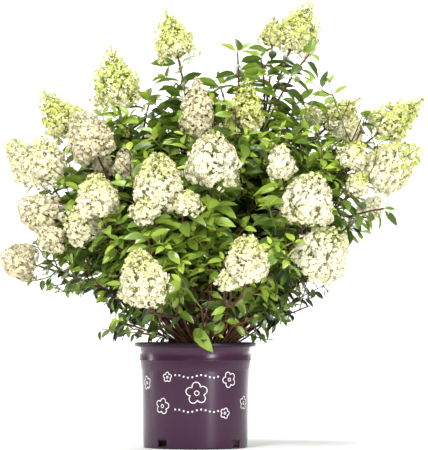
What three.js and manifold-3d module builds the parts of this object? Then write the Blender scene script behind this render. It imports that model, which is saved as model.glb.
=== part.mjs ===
// A panicle hydrangea in full bloom, in the pot that it was grown in.
// Millimetres, +Z up. The origin is the centre of the pot's flat underside, and the front faces -Y.
import * as THREE from "three";
import { mergeVertices } from "three/addons/utils/BufferGeometryUtils.js";
import Module from "manifold-3d";

const wasm = await Module();
wasm.setup();

// Pot
const POT_HEIGHT = 242;
const RIM_RADIUS = 140;
const LIP_DEPTH = 10;
const NECK_RADIUS = 129.5;
const STEP_HEIGHT = 200;
const STEP_WIDTH = 1.2;
const FOOT_RADIUS = 119.5;
const WALL = 1.8;
const FLOOR = 3;
const EDGE = 1;
const POT_SIDES = 32;
const DRAIN = { count: 4, first: 51.5, width: 25, height: 16, above: 4 };

// Soil, and the woody crown that the canes rise from. The crown's outline is in shares of its size.
const GAP = 0.3;
const LIMB_GAP = 0.4;
const SOIL_TOP = 217;
const SOIL_FALL = 5;
const SOIL_SIDES = 24;
const CROWN = { x: 26, y: 0, wide: 56, deep: 44, high: 34, sides: 12, lump: 0.1 };
const CROWN_OUTLINE = [
  [1, 0.18],
  [0.86, 0.55],
  [0.52, 0.88],
];

// Canes, boughs and the thinner stems inside a mass: radii, faces round, and the length of one bent step
const CANE = { base: 5.6, tip: 3.6, sides: 5, step: 75 };
const BOUGH = { base: 4.4, tip: 3, sides: 5, step: 75 };
const STEM = { tip: 2.4, sides: 3, step: 90 };
const SIDE_STEM = { base: 2.7, tip: 2.1 };
const SKIRT_STEM = { base: 3.2, tip: 1.7 };
const TWIG = { base: 2.2, tip: 1.5, sides: 3, length: 74, angle: 52, curl: 0.1 };

// Where a cane starts on the crown, in shares of the crown's size, and how steeply
const START = { inner: 0.3, spread: 0.42, perMillimetre: 0.0004, height: 0.35, lift: 0.35 };
const SKIRT_START = { out: 0.8, height: 0.3, lift: 0.55, perSwing: 0.02, sidePerSwing: 0.4, tested: 0.02 };

// How a route bends: the share of its length that follows each end, and the tries to swing it clear
const ROUTE = { leave: 0.36, arrive: 0.3, follow: 0.55, tries: 13, swing: 9, tested: 0.1 };
const LIMB_CLEARANCE = 5;
const BEAD_STEP = 12;
const FAR = 1e6;

// A mass takes the last part of its shoot: this length, or this share of a short one
const MASS_LENGTH = 300;
const MASS_SHARE = 0.6;
const SIDE_FORK = { first: 0.2, next: 0.14, leafy: 0.28, lift: 0.5, follow: 0.4, ease: 0.3 };

// Leaves in opposite pairs, each pair at right angles to the last. Angles are in degrees.
const LEAF = { long: 104, wide: 56, thick: 2.4, fold: 4, droop: 12, widest: 0.42 };
const LEAF_HANG = { keep: 0.9, fall: 0.2, roll: 120 };
const LEAF_ANGLE = 64;
const LEAF_SINK = 0.4;
const TIP_LEAF = { size: 0.7, angle: 58, sink: 3 };
const LOW_LEAF = 0.7;
const LEAF_TRIES = [1, 0.82, 0.66];
const NODE_STEP = 56;
const JOINT = { first: 0.55, bare: 0.3, wander: 0.5, vary: 0.4, leafVary: 0.15 };
const MOST_LEAVES = 13;
const MOST_TWIGS = 3;
const TWIG_PROBES = [0.4, 0.6, 0.8, 1];
const TWIG_WOOD = 0.1;
const TWIG_LEAF = 0.88;
const TWIG_LEAF_SINK = 8;

// The room that a leaf or twig keeps to the next mass, to wood and to other leaves of its own mass
const SPACE_MARGIN = 2.2;
const LIMB_SPACING = 4;
const WOOD_SPACING = 3;
const LEAF_SPACING = 12;
const POT_CLEARANCE = 5;

// Panicles: a lumpy dome of florets, or a pointed cone where they are still lime. Each outline is the
// height and the radius as shares.
const PANICLE_DOME = [
  [0, 0.6],
  [0.15, 0.96],
  [0.42, 1],
  [0.8, 0.62],
];
const PANICLE_CONE = [
  [0, 0.62],
  [0.14, 0.95],
  [0.34, 0.98],
  [0.74, 0.48],
];
const SMALL_PANICLE_OUTLINE = [
  [0, 0.6],
  [0.3, 1],
  [0.75, 0.72],
];
const SMALL_PANICLE = 80;
const PANICLE_SIDES = 7;
const SMALL_PANICLE_SIDES = 5;
const PANICLE_LUMP = 0.09;
const PANICLE_HOLD = 16;
const PANICLE_ROOM = 0.52;
const PANICLE_ROUND = 0.42;

const COLOURS = {
  pot: 0x5a3a55,
  soil: 0x3a2a20,
  bark: 0x5c4334,
  cane: 0x7a4a34,
  leaf: 0x4f8a2c,
  lime: 0xd8e08a,
  cream: 0xeeeed0,
  white: 0xf4f4e6,
  blush: 0xecdccb,
};
const ROUGHNESS = { pot: 0.4, soil: 0.95, bark: 0.9, cane: 0.8, mass: 0.7 };

// Any direction that no stem follows, to turn round a stem from
const REFERENCE = [0.31, 0.95, 0.05];
const WELD = 1e-3;

// Every flowering shoot: the middle of its panicle, the panicle's length and width, the angle at which
// it rises, its colour, and the cane that it forks from with the share of that cane's length. A shoot
// with no cane named is a cane itself. Blooms on side twigs of the same shoot follow under more.
const SHOOTS = [
  { name: "far_left_high", at: [-324, 60, 780], bloom: [130, 96], rise: 56, tint: "lime" },
  { name: "left_high", at: [-245, -90, 715], bloom: [118, 98], rise: 64, tint: "blush", more: [
    { at: [-214, -40, 652], bloom: [52, 50] },
    { at: [-160, -66, 652], bloom: [80, 52] },
  ] },
  { name: "far_left_low", at: [-360, -60, 540], bloom: [108, 94], rise: 24, tint: "blush", more: [
    { at: [-330, -118, 482], bloom: [64, 56] },
  ] },
  { name: "top_left", at: [-55, 40, 960], bloom: [128, 92], rise: 74, tint: "lime" },
  { name: "top_right", at: [245, 60, 980], bloom: [138, 104], rise: 66, tint: "lime", more: [
    { at: [182, 104, 972], bloom: [80, 60] },
    { at: [262, -30, 905], leafy: true },
    { at: [152, 20, 900], leafy: true },
  ] },
  { name: "right_high", at: [345, 130, 780], bloom: [127, 82], rise: 40, tint: "lime", more: [
    { at: [362, 62, 738], bloom: [75, 60] },
    { at: [270, 180, 782], bloom: [66, 54] },
    { at: [212, 84, 776], leafy: true },
  ] },
  { name: "far_right", at: [458, -40, 652], bloom: [149, 100], rise: 34, tint: "white", more: [
    { at: [365, -70, 672], bloom: [70, 58] },
    { at: [372, -96, 606], bloom: [60, 46] },
    { at: [430, -60, 548], leafy: true },
  ] },
  { name: "right_low", at: [286, -215, 447], bloom: [128, 118], rise: 50, tint: "white" },
  { name: "left_front", at: [-80, -260, 600], bloom: [135, 110], rise: 75, tint: "white", more: [
    { at: [-14, -304, 556], bloom: [52, 54] },
    { at: [-112, -288, 536], bloom: [52, 52] },
  ] },
  { name: "centre_front", at: [40, -230, 655], bloom: [122, 112], rise: 72, tint: "white" },
  { name: "back_left", at: [-175, 300, 665], bloom: [125, 100], rise: 62, tint: "cream", more: [
    { at: [-95, 250, 730], bloom: [70, 56] },
  ] },
  { name: "back_middle", at: [-20, 355, 500], bloom: [120, 108], rise: 50, tint: "white", more: [
    { at: [70, 360, 450], bloom: [60, 54] },
  ] },
  { name: "back_right", at: [165, 310, 640], bloom: [125, 104], rise: 60, tint: "cream", more: [
    { at: [250, 280, 590], bloom: [66, 56] },
  ] },
  { name: "far_left_mid", at: [-345, -20, 660], bloom: [122, 86], rise: 74, tint: "cream",
    from: "far_left_high", fork: 0.5, more: [{ at: [-404, 48, 668], bloom: [118, 72] }] },
  { name: "left_inner", at: [-220, -190, 575], bloom: [100, 86], rise: 78, tint: "cream",
    from: "left_high", fork: 0.42, more: [{ at: [-257, -128, 515], bloom: [92, 80] }] },
  { name: "low_left", at: [-409, 0, 430], bloom: [88, 86], rise: 14, tint: "blush",
    from: "far_left_low", fork: 0.4 },
  { name: "left_top", at: [-190, 90, 864], bloom: [158, 106], rise: 83, tint: "lime",
    from: "top_left", fork: 0.35, more: [{ at: [-108, 52, 800], leafy: true }] },
  { name: "inner_cream", at: [5, -60, 780], bloom: [140, 74], rise: 84, tint: "blush",
    from: "top_left", fork: 0.55 },
  { name: "top_middle", at: [115, -20, 790], bloom: [130, 88], rise: 84, tint: "lime",
    from: "top_right", fork: 0.42, more: [
      { at: [98, 6, 912], leafy: true },
      { at: [58, 34, 836], leafy: true },
    ] },
  { name: "far_right_high", at: [478, 40, 768], bloom: [148, 92], rise: 37, tint: "lime",
    from: "right_high", fork: 0.5 },
  { name: "right_front", at: [256, -238, 566], bloom: [118, 110], rise: 74, tint: "white",
    from: "right_low", fork: 0.4, more: [{ at: [195, -200, 650], bloom: [80, 62] }] },
  { name: "low_left_front", at: [-115, -330, 390], bloom: [125, 106], rise: 66, tint: "cream",
    from: "left_front", fork: 0.32 },
  { name: "low_right_front", at: [115, -350, 428], bloom: [108, 98], rise: 80, tint: "cream",
    from: "centre_front", fork: 0.3, more: [{ at: [74, -352, 380], bloom: [44, 46] }] },
  { name: "back_left_low", at: [-310, 235, 490], bloom: [110, 92], rise: 42, tint: "blush",
    from: "back_left", fork: 0.36, more: [{ at: [-372, 150, 545], bloom: [64, 56] }] },
  { name: "back_top", at: [-5, 215, 775], bloom: [130, 92], rise: 74, tint: "lime",
    from: "back_right", fork: 0.42 },
  { name: "back_right_low", at: [330, 235, 510], bloom: [110, 96], rise: 42, tint: "white",
    from: "back_right", fork: 0.3, more: [{ at: [415, 140, 560], bloom: [66, 56] }] },
];

// Low leafy shoots that spread from the crown just over the rim: the tip of each, and its height there
const SKIRTS = [
  { name: "low_leaves_left", tip: [-178, -20, 292] },
  { name: "low_leaves_right", tip: [262, -34, 326] },
  { name: "low_leaves_front", tip: [15, -235, 320] },
  { name: "low_leaves_back", tip: [20, 245, 330] },
];

// A repeatable number from 0 to 1 for a pair of counters
function chance(a, b) {
  const wave = Math.sin(a * 127.1 + b * 311.7) * 43758.5453;
  return wave - Math.floor(wave);
}

function vector(p) {
  return new THREE.Vector3(...p);
}

function radians(degrees) {
  return (degrees * Math.PI) / 180;
}

// Solids

function solid(geometry) {
  const bare = geometry.clone();
  bare.deleteAttribute("normal");
  bare.deleteAttribute("uv");
  const merged = mergeVertices(bare, WELD);
  const corners = merged.index.array;
  const faces = [];
  for (let i = 0; i < corners.length; i += 3) {
    const [a, b, c] = corners.slice(i, i + 3);
    if (a !== b && b !== c && a !== c) faces.push(a, b, c);
  }
  return new wasm.Manifold(new wasm.Mesh({
    numProp: 3,
    vertProperties: merged.attributes.position.array,
    triVerts: new Uint32Array(faces),
  }));
}

function join(solids) {
  return solids.reduce((whole, piece) => whole.add(piece));
}

function largestBody(whole) {
  const bodies = whole.decompose();
  bodies.sort((a, b) => b.volume() - a.volume());
  return bodies[0];
}

function meshOf(name, whole, colour, roughness) {
  const made = whole.getMesh();
  const geometry = new THREE.BufferGeometry();
  geometry.setAttribute("position", new THREE.BufferAttribute(made.vertProperties, 3));
  geometry.setIndex(new THREE.BufferAttribute(made.triVerts, 1));
  const material = new THREE.MeshStandardMaterial({ color: colour, roughness, metalness: 0 });
  const mesh = new THREE.Mesh(geometry, material);
  mesh.name = name;
  return mesh;
}

// Pot and soil

function bodyRadius(height) {
  const stepRadius = NECK_RADIUS - STEP_WIDTH - EDGE;
  return FOOT_RADIUS + ((stepRadius - FOOT_RADIUS) * height) / STEP_HEIGHT;
}

function lathe(outline, sides) {
  const points = outline.map(([r, z]) => new THREE.Vector2(r, z));
  return new THREE.LatheGeometry(points, sides).rotateX(Math.PI / 2);
}

function drainHole(index) {
  const cut = new THREE.BoxGeometry(DRAIN.width, FOOT_RADIUS / 2, DRAIN.height);
  cut.translate(0, -FOOT_RADIUS, DRAIN.above + DRAIN.height / 2);
  return cut.rotateZ(radians(DRAIN.first + (index * 360) / DRAIN.count));
}

function pot() {
  const ledge = POT_HEIGHT - LIP_DEPTH;
  const outline = [
    [0, 0],
    [FOOT_RADIUS - EDGE, 0],
    [FOOT_RADIUS, EDGE],
    [bodyRadius(STEP_HEIGHT), STEP_HEIGHT],
    [bodyRadius(STEP_HEIGHT) + STEP_WIDTH, STEP_HEIGHT + EDGE],
    [NECK_RADIUS, ledge],
    [RIM_RADIUS - EDGE, ledge],
    [RIM_RADIUS, ledge + EDGE],
    [RIM_RADIUS, POT_HEIGHT - EDGE],
    [RIM_RADIUS - EDGE, POT_HEIGHT],
    [RIM_RADIUS - WALL - EDGE, POT_HEIGHT],
    [RIM_RADIUS - WALL - EDGE, ledge + WALL],
    [NECK_RADIUS - WALL, ledge + WALL],
    [bodyRadius(STEP_HEIGHT) - WALL, STEP_HEIGHT],
    [bodyRadius(FLOOR) - WALL, FLOOR],
    [0, FLOOR],
  ];
  let whole = solid(lathe(outline, POT_SIDES));
  for (let i = 0; i < DRAIN.count; i++) whole = whole.subtract(solid(drainHole(i)));
  return whole;
}

// A little more than the gap is left at the wall, because the two have different numbers of faces.
function soil() {
  const clear = WALL + GAP * 2;
  const flat = CROWN.wide + CROWN.x + EDGE;
  const outline = [
    [0, FLOOR + GAP],
    [bodyRadius(FLOOR) - clear - EDGE, FLOOR + GAP],
    [bodyRadius(STEP_HEIGHT) - clear, STEP_HEIGHT],
    [bodyRadius(STEP_HEIGHT) - clear, SOIL_TOP - SOIL_FALL],
    [flat, SOIL_TOP],
    [0, SOIL_TOP],
  ];
  return solid(lathe(outline, SOIL_SIDES));
}

// The number of the face edge that a point of a turned shape lies on
function sideOf(place, i, sides) {
  const turn = Math.atan2(place.getY(i), place.getX(i)) / (2 * Math.PI);
  return (Math.round(turn * sides) + sides) % sides;
}

// The crown is a low knob of old wood, flat underneath. A spread makes it that much larger all round.
function crown(spread) {
  const high = CROWN.high + spread;
  const flank = CROWN_OUTLINE.map(([radius, share]) => [radius, share * high]);
  const shape = lathe([[0, -spread], [1 - EDGE / CROWN.high, -spread], ...flank, [0, high]], CROWN.sides);
  const place = shape.attributes.position;
  for (let i = 0; i < place.count; i++) {
    const lump = 1 + CROWN.lump * (2 * chance(CROWN.sides, sideOf(place, i, CROWN.sides)) - 1);
    place.setX(i, place.getX(i) * (CROWN.wide * lump + spread));
    place.setY(i, place.getY(i) * (CROWN.deep * lump + spread));
  }
  return solid(shape.translate(CROWN.x, CROWN.y, SOIL_TOP + GAP));
}

// Limbs

// A tapering limb: a closed cylinder bent along the stretch of a curve from share u0 to share u1.
function taper(curve, u0, u1, r0, r1, sides, steps) {
  const shape = new THREE.CylinderGeometry(1, 1, 1, sides, steps);
  const place = shape.attributes.position;
  const rings = [];
  let across = vector(REFERENCE);
  for (let ring = 0; ring <= steps; ring++) {
    const share = ring / steps;
    const u = u0 + (u1 - u0) * share;
    const along = curve.getTangentAt(u);
    across = across.clone().addScaledVector(along, -across.dot(along)).normalize();
    rings.push({
      at: curve.getPointAt(u),
      across,
      over: new THREE.Vector3().crossVectors(along, across),
      radius: r0 + (r1 - r0) * share,
    });
  }
  for (let i = 0; i < place.count; i++) {
    const { at, across: side, over, radius } = rings[Math.round((place.getY(i) + 0.5) * steps)];
    const moved = at.clone();
    moved.addScaledVector(side, place.getZ(i) * radius);
    moved.addScaledVector(over, place.getX(i) * radius);
    place.setXYZ(i, moved.x, moved.y, moved.z);
  }
  return solid(shape);
}

// The stretch of a limb as balls along its middle, for tests of clearance
function beads(curve, u0, u1, r0, r1) {
  const count = Math.max(3, Math.ceil((curve.getLength() * (u1 - u0)) / BEAD_STEP));
  return Array.from({ length: count + 1 }, (_, i) => {
    const share = i / count;
    return { at: curve.getPointAt(u0 + (u1 - u0) * share), radius: r0 + (r1 - r0) * share };
  });
}

function clearance(point, balls) {
  return balls.reduce((least, ball) => Math.min(least, point.distanceTo(ball.at) - ball.radius), FAR);
}

function bearingOf(point) {
  return Math.atan2(point.y - CROWN.y, point.x - CROWN.x);
}

function axisOf(middle, rise) {
  const bearing = bearingOf(middle);
  const flat = Math.cos(rise);
  return new THREE.Vector3(flat * Math.cos(bearing), flat * Math.sin(bearing), Math.sin(rise));
}

// A cane starts on the crown at its own bearing, the outer ones lower and further out.
function caneStart(middle, rise) {
  const bearing = bearingOf(middle);
  const reach = Math.hypot(middle.x, middle.y);
  const out = START.inner + START.spread * Math.cos(rise) + START.perMillimetre * reach;
  const at = new THREE.Vector3(
    CROWN.x + CROWN.wide * out * Math.cos(bearing),
    CROWN.y + CROWN.deep * out * Math.sin(bearing),
    SOIL_TOP + CROWN.high * START.height,
  );
  const lean = middle.clone().sub(at).normalize();
  lean.z += START.lift;
  return { at, along: lean.normalize() };
}

function forkStart(parent, share, middle) {
  const u = parent.limbEnd * share;
  const at = parent.curve.getPointAt(u);
  const lean = middle.clone().sub(at).normalize();
  return { at, along: lean.addScaledVector(parent.curve.getTangentAt(u), ROUTE.follow).normalize() };
}

function routeOf(start, base, axis, swing) {
  const length = start.at.distanceTo(base);
  const side = new THREE.Vector3().crossVectors(axis, new THREE.Vector3(0, 0, 1)).normalize();
  const first = start.at.clone().addScaledVector(start.along, length * ROUTE.leave);
  const second = base.clone().addScaledVector(axis, -length * ROUTE.arrive);
  first.addScaledVector(side, swing);
  second.addScaledVector(side, swing);
  return new THREE.CubicBezierCurve3(start.at, first, second, base);
}

// A route is swung aside, a little further each time, until it clears the shoots before it. Its first
// share up to tested is left out, where it starts close to them.
function clearRoute(routeFor, others, radius, tested) {
  let best = null;
  for (let attempt = 0; attempt < ROUTE.tries; attempt++) {
    const swing = (attempt % 2 ? -1 : 1) * Math.ceil(attempt / 2) * ROUTE.swing;
    const curve = routeFor(swing);
    const balls = beads(curve, tested, 1, radius, STEM.tip);
    const room = Math.min(...others.map((other) =>
      balls.reduce((least, ball) => Math.min(least, clearance(ball.at, other.beads) - ball.radius), FAR)));
    if (!best || room > best.room) best = { curve, room };
    if (best.room > LIMB_CLEARANCE) break;
  }
  return best.curve;
}

function planShoot(shoot, index, planned) {
  const parent = planned.find((other) => other.name === shoot.from);
  const size = parent ? BOUGH : CANE;
  const middle = vector(shoot.at);
  const rise = radians(shoot.rise);
  const axis = axisOf(middle, rise);
  const [long, wide] = shoot.bloom;
  const root = middle.clone().addScaledVector(axis, -long / 2);
  const base = root.clone().addScaledVector(axis, PANICLE_HOLD);
  const start = parent ? forkStart(parent, shoot.fork, middle) : caneStart(middle, rise);
  const others = planned.filter((other) => other !== parent);
  const routeFor = (swing) => routeOf(start, base, axis, swing);
  const curve = clearRoute(routeFor, others, size.base, ROUTE.tested);
  const length = curve.getLength();
  const limbEnd = 1 - Math.min(MASS_LENGTH, length * MASS_SHARE) / length;
  return {
    ...shoot, index, parent, size, middle, axis, root, long, wide, curve, length, limbEnd,
    beads: [
      ...beads(curve, 0, limbEnd, size.base, size.tip),
      ...beads(curve, limbEnd, 1, size.tip, STEM.tip),
    ],
    limbBeads: beads(curve, 0, limbEnd, size.base, size.tip),
  };
}

function limb(shoot, grown) {
  const steps = Math.max(4, Math.round((shoot.length * shoot.limbEnd) / shoot.size.step));
  return taper(shoot.curve, 0, shoot.limbEnd, shoot.size.base + grown, shoot.size.tip + grown,
    shoot.size.sides, steps);
}

// Spaces: each mass keeps to the points that lie nearer to its own stems and blooms than to any other's

function distanceToSegment(point, a, b) {
  const along = b.clone().sub(a);
  const share = THREE.MathUtils.clamp(point.clone().sub(a).dot(along) / along.lengthSq(), 0, 1);
  return point.distanceTo(a.clone().addScaledVector(along, share));
}

function bloomCore(middle, axis, long, wide) {
  const half = Math.max(1, long / 2 - wide * PANICLE_ROUND);
  return {
    a: middle.clone().addScaledVector(axis, -half),
    b: middle.clone().addScaledVector(axis, half),
    radius: wide * PANICLE_ROOM,
  };
}

function stemCores({ curve, u0, u1, r1 }) {
  const pieces = 5;
  const shares = Array.from({ length: pieces + 1 }, (_, i) => u0 + ((u1 - u0) * i) / pieces);
  const points = shares.map((u) => curve.getPointAt(u));
  return points.slice(1).map((b, i) => ({ a: points[i], b, radius: r1 }));
}

function reachTo(point, cores) {
  return cores.reduce((least, core) =>
    Math.min(least, distanceToSegment(point, core.a, core.b) - core.radius), FAR);
}

function clearOfPot(point) {
  const out = Math.hypot(point.x, point.y);
  if (point.z > POT_HEIGHT + POT_CLEARANCE) return true;
  if (out > RIM_RADIUS + POT_CLEARANCE) return true;
  return out < NECK_RADIUS - WALL - POT_CLEARANCE && point.z > SOIL_TOP + POT_CLEARANCE;
}

function hasRoom(points, mass, masses, limbs) {
  return points.every((point) => {
    if (!clearOfPot(point)) return false;
    const own = reachTo(point, mass.cores);
    for (const other of masses) {
      if (other === mass) continue;
      const reach = reachTo(point, other.cores);
      if (reach < SPACE_MARGIN || reach < own + SPACE_MARGIN) return false;
    }
    return limbs.every((balls) => clearance(point, balls) > LIMB_SPACING);
  });
}

// Leaves

// A leaf of eight faces: root, tip, two edges raised by the fold, and a top and an underside.
function leafPlan(root, along, roll, size, sink) {
  const long = LEAF.long * size;
  const up = new THREE.Vector3(0, 0, 1);
  const side = new THREE.Vector3().crossVectors(up, along).normalize();
  side.applyAxisAngle(along, roll);
  const face = new THREE.Vector3().crossVectors(along, side).normalize();
  const point = (forward, sideways, lift) => root.clone()
    .addScaledVector(along, forward)
    .addScaledVector(side, sideways)
    .addScaledVector(face, lift);
  const half = (LEAF.wide * size) / 2;
  const waist = long * LEAF.widest;
  const drop = -LEAF.droop * size;
  const corners = {
    root: point(-sink, 0, 0),
    tip: point(long, 0, drop),
    left: point(waist, half, LEAF.fold),
    right: point(waist, -half, LEAF.fold),
    top: point(waist, 0, LEAF.thick / 2),
    under: point(waist, 0, -LEAF.thick / 2),
  };
  const probes = [
    corners.left,
    corners.right,
    corners.tip,
    point(waist, 0, 0),
    point(waist / 2, 0, 0),
    ...[corners.left, corners.right].flatMap((edge) => [
      edge.clone().lerp(corners.tip, 0.5),
      edge.clone().lerp(corners.root, 0.5),
    ]),
  ];
  return { ...corners, probes };
}

function leafSolid(plan) {
  const shape = new THREE.OctahedronGeometry(1);
  const place = shape.attributes.position;
  for (let i = 0; i < place.count; i++) {
    const [x, y, z] = [place.getX(i), place.getY(i), place.getZ(i)];
    const lengthwise = x < -0.5 ? plan.root : plan.tip;
    const sideways = y > 0.5 ? plan.left : plan.right;
    const upright = z > 0.5 ? plan.top : plan.under;
    const target = Math.abs(x) > 0.5 ? lengthwise : Math.abs(y) > 0.5 ? sideways : upright;
    place.setXYZ(i, target.x, target.y, target.z);
  }
  return solid(shape);
}

// Panicles

function panicle({ root, axis, long, wide }, tint, seed) {
  const small = long < SMALL_PANICLE;
  const sides = small ? SMALL_PANICLE_SIDES : PANICLE_SIDES;
  const large = tint === "lime" ? PANICLE_CONE : PANICLE_DOME;
  const rings = small ? SMALL_PANICLE_OUTLINE : large;
  const outline = [[0, 0], ...rings.map(([share, r]) => [(r * wide) / 2, share * long]), [0, long]];
  const shape = lathe(outline, sides);
  const place = shape.attributes.position;
  for (let i = 0; i < place.count; i++) {
    const percent = Math.round((place.getZ(i) / long) * 100);
    const lump = 1 + PANICLE_LUMP * (2 * chance(seed + percent, sideOf(place, i, sides)) - 1);
    place.setX(i, place.getX(i) * lump);
    place.setY(i, place.getY(i) * lump);
  }
  const turn = new THREE.Quaternion().setFromUnitVectors(new THREE.Vector3(0, 0, 1), axis);
  return solid(shape.applyQuaternion(turn).translate(root.x, root.y, root.z));
}

// Masses

// The direction that leaves a stem at an angle from it, round it by a turn
function branchAlong(along, turn, angle) {
  const across = vector(REFERENCE);
  across.addScaledVector(along, -across.dot(along)).normalize().applyAxisAngle(along, turn);
  return along.clone().multiplyScalar(Math.cos(angle)).addScaledVector(across, Math.sin(angle));
}

// The stretch of a stem that a mass holds
function stretch(curve, u0, u1, r0, r1) {
  return { curve, u0, u1, r0, r1, length: curve.getLength() * (u1 - u0) };
}

// A twig curls up a little towards its tip.
function twigCurve(from, along, long) {
  const middle = from.clone().addScaledVector(along, long / 2);
  const end = from.clone().addScaledVector(along, long);
  end.z += long * TWIG.curl;
  return new THREE.QuadraticBezierCurve3(from, middle, end);
}

// A side stem leaves the main one and ends in a smaller panicle, or in leaves alone.
function sideStem(mass, spot, index) {
  const target = vector(spot.at);
  const share = spot.leafy ? SIDE_FORK.leafy : SIDE_FORK.first + SIDE_FORK.next * index;
  const u = mass.stem.u0 + (mass.stem.u1 - mass.stem.u0) * share;
  const from = mass.stem.curve.getPointAt(u);
  const along = mass.stem.curve.getTangentAt(u);
  const reach = from.distanceTo(target);
  const axis = target.clone().sub(from).normalize();
  axis.z += SIDE_FORK.lift;
  axis.normalize();
  const [long, wide] = spot.bloom ?? [0, 0];
  const root = target.clone().addScaledVector(axis, -long / 2);
  const base = spot.bloom ? root.clone().addScaledVector(axis, PANICLE_HOLD) : target;
  const bend = from.clone().addScaledVector(along, reach * SIDE_FORK.follow).lerp(base, SIDE_FORK.ease);
  const curve = new THREE.QuadraticBezierCurve3(from, bend, base);
  const bloom = spot.bloom ? { root, axis, long, wide, middle: target } : null;
  return { ...stretch(curve, 0, 1, SIDE_STEM.base, SIDE_STEM.tip), bloom };
}

function planMass(shoot) {
  const u0 = shoot.limbEnd + GAP / shoot.length;
  const stem = stretch(shoot.curve, u0, 1, shoot.size.tip, STEM.tip);
  const { root, axis, long, wide, middle } = shoot;
  const mass = { name: shoot.name, index: shoot.index, stem, tint: shoot.tint };
  mass.blooms = [{ root, axis, long, wide, middle }];
  mass.sides = (shoot.more ?? []).map((spot, i) => sideStem(mass, spot, i));
  for (const side of mass.sides) if (side.bloom) mass.blooms.push(side.bloom);
  return withCores(mass);
}

function planSkirt(skirt, index, planned) {
  const tip = vector(skirt.tip);
  const routeFor = (swing) => {
    const bearing = bearingOf(tip) + swing * SKIRT_START.perSwing;
    const outward = new THREE.Vector3(CROWN.wide * Math.cos(bearing), CROWN.deep * Math.sin(bearing), 0);
    const at = new THREE.Vector3(CROWN.x, CROWN.y, SOIL_TOP + CROWN.high * SKIRT_START.height);
    at.addScaledVector(outward, SKIRT_START.out);
    const along = outward.normalize().setZ(SKIRT_START.lift).normalize();
    const axis = tip.clone().sub(at).normalize();
    return routeOf({ at, along }, tip, axis, swing * SKIRT_START.sidePerSwing);
  };
  const curve = clearRoute(routeFor, planned, SKIRT_STEM.base, SKIRT_START.tested);
  const stem = stretch(curve, 0, 1, SKIRT_STEM.base, SKIRT_STEM.tip);
  return withCores({ name: skirt.name, index, stem, tint: "leaf", blooms: [], sides: [], low: true });
}

function withCores(mass) {
  mass.cores = [mass.stem, ...mass.sides].flatMap(stemCores);
  mass.bloomCores = mass.blooms.map((b) => bloomCore(b.middle, b.axis, b.long, b.wide));
  mass.cores.push(...mass.bloomCores);
  return mass;
}

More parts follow.
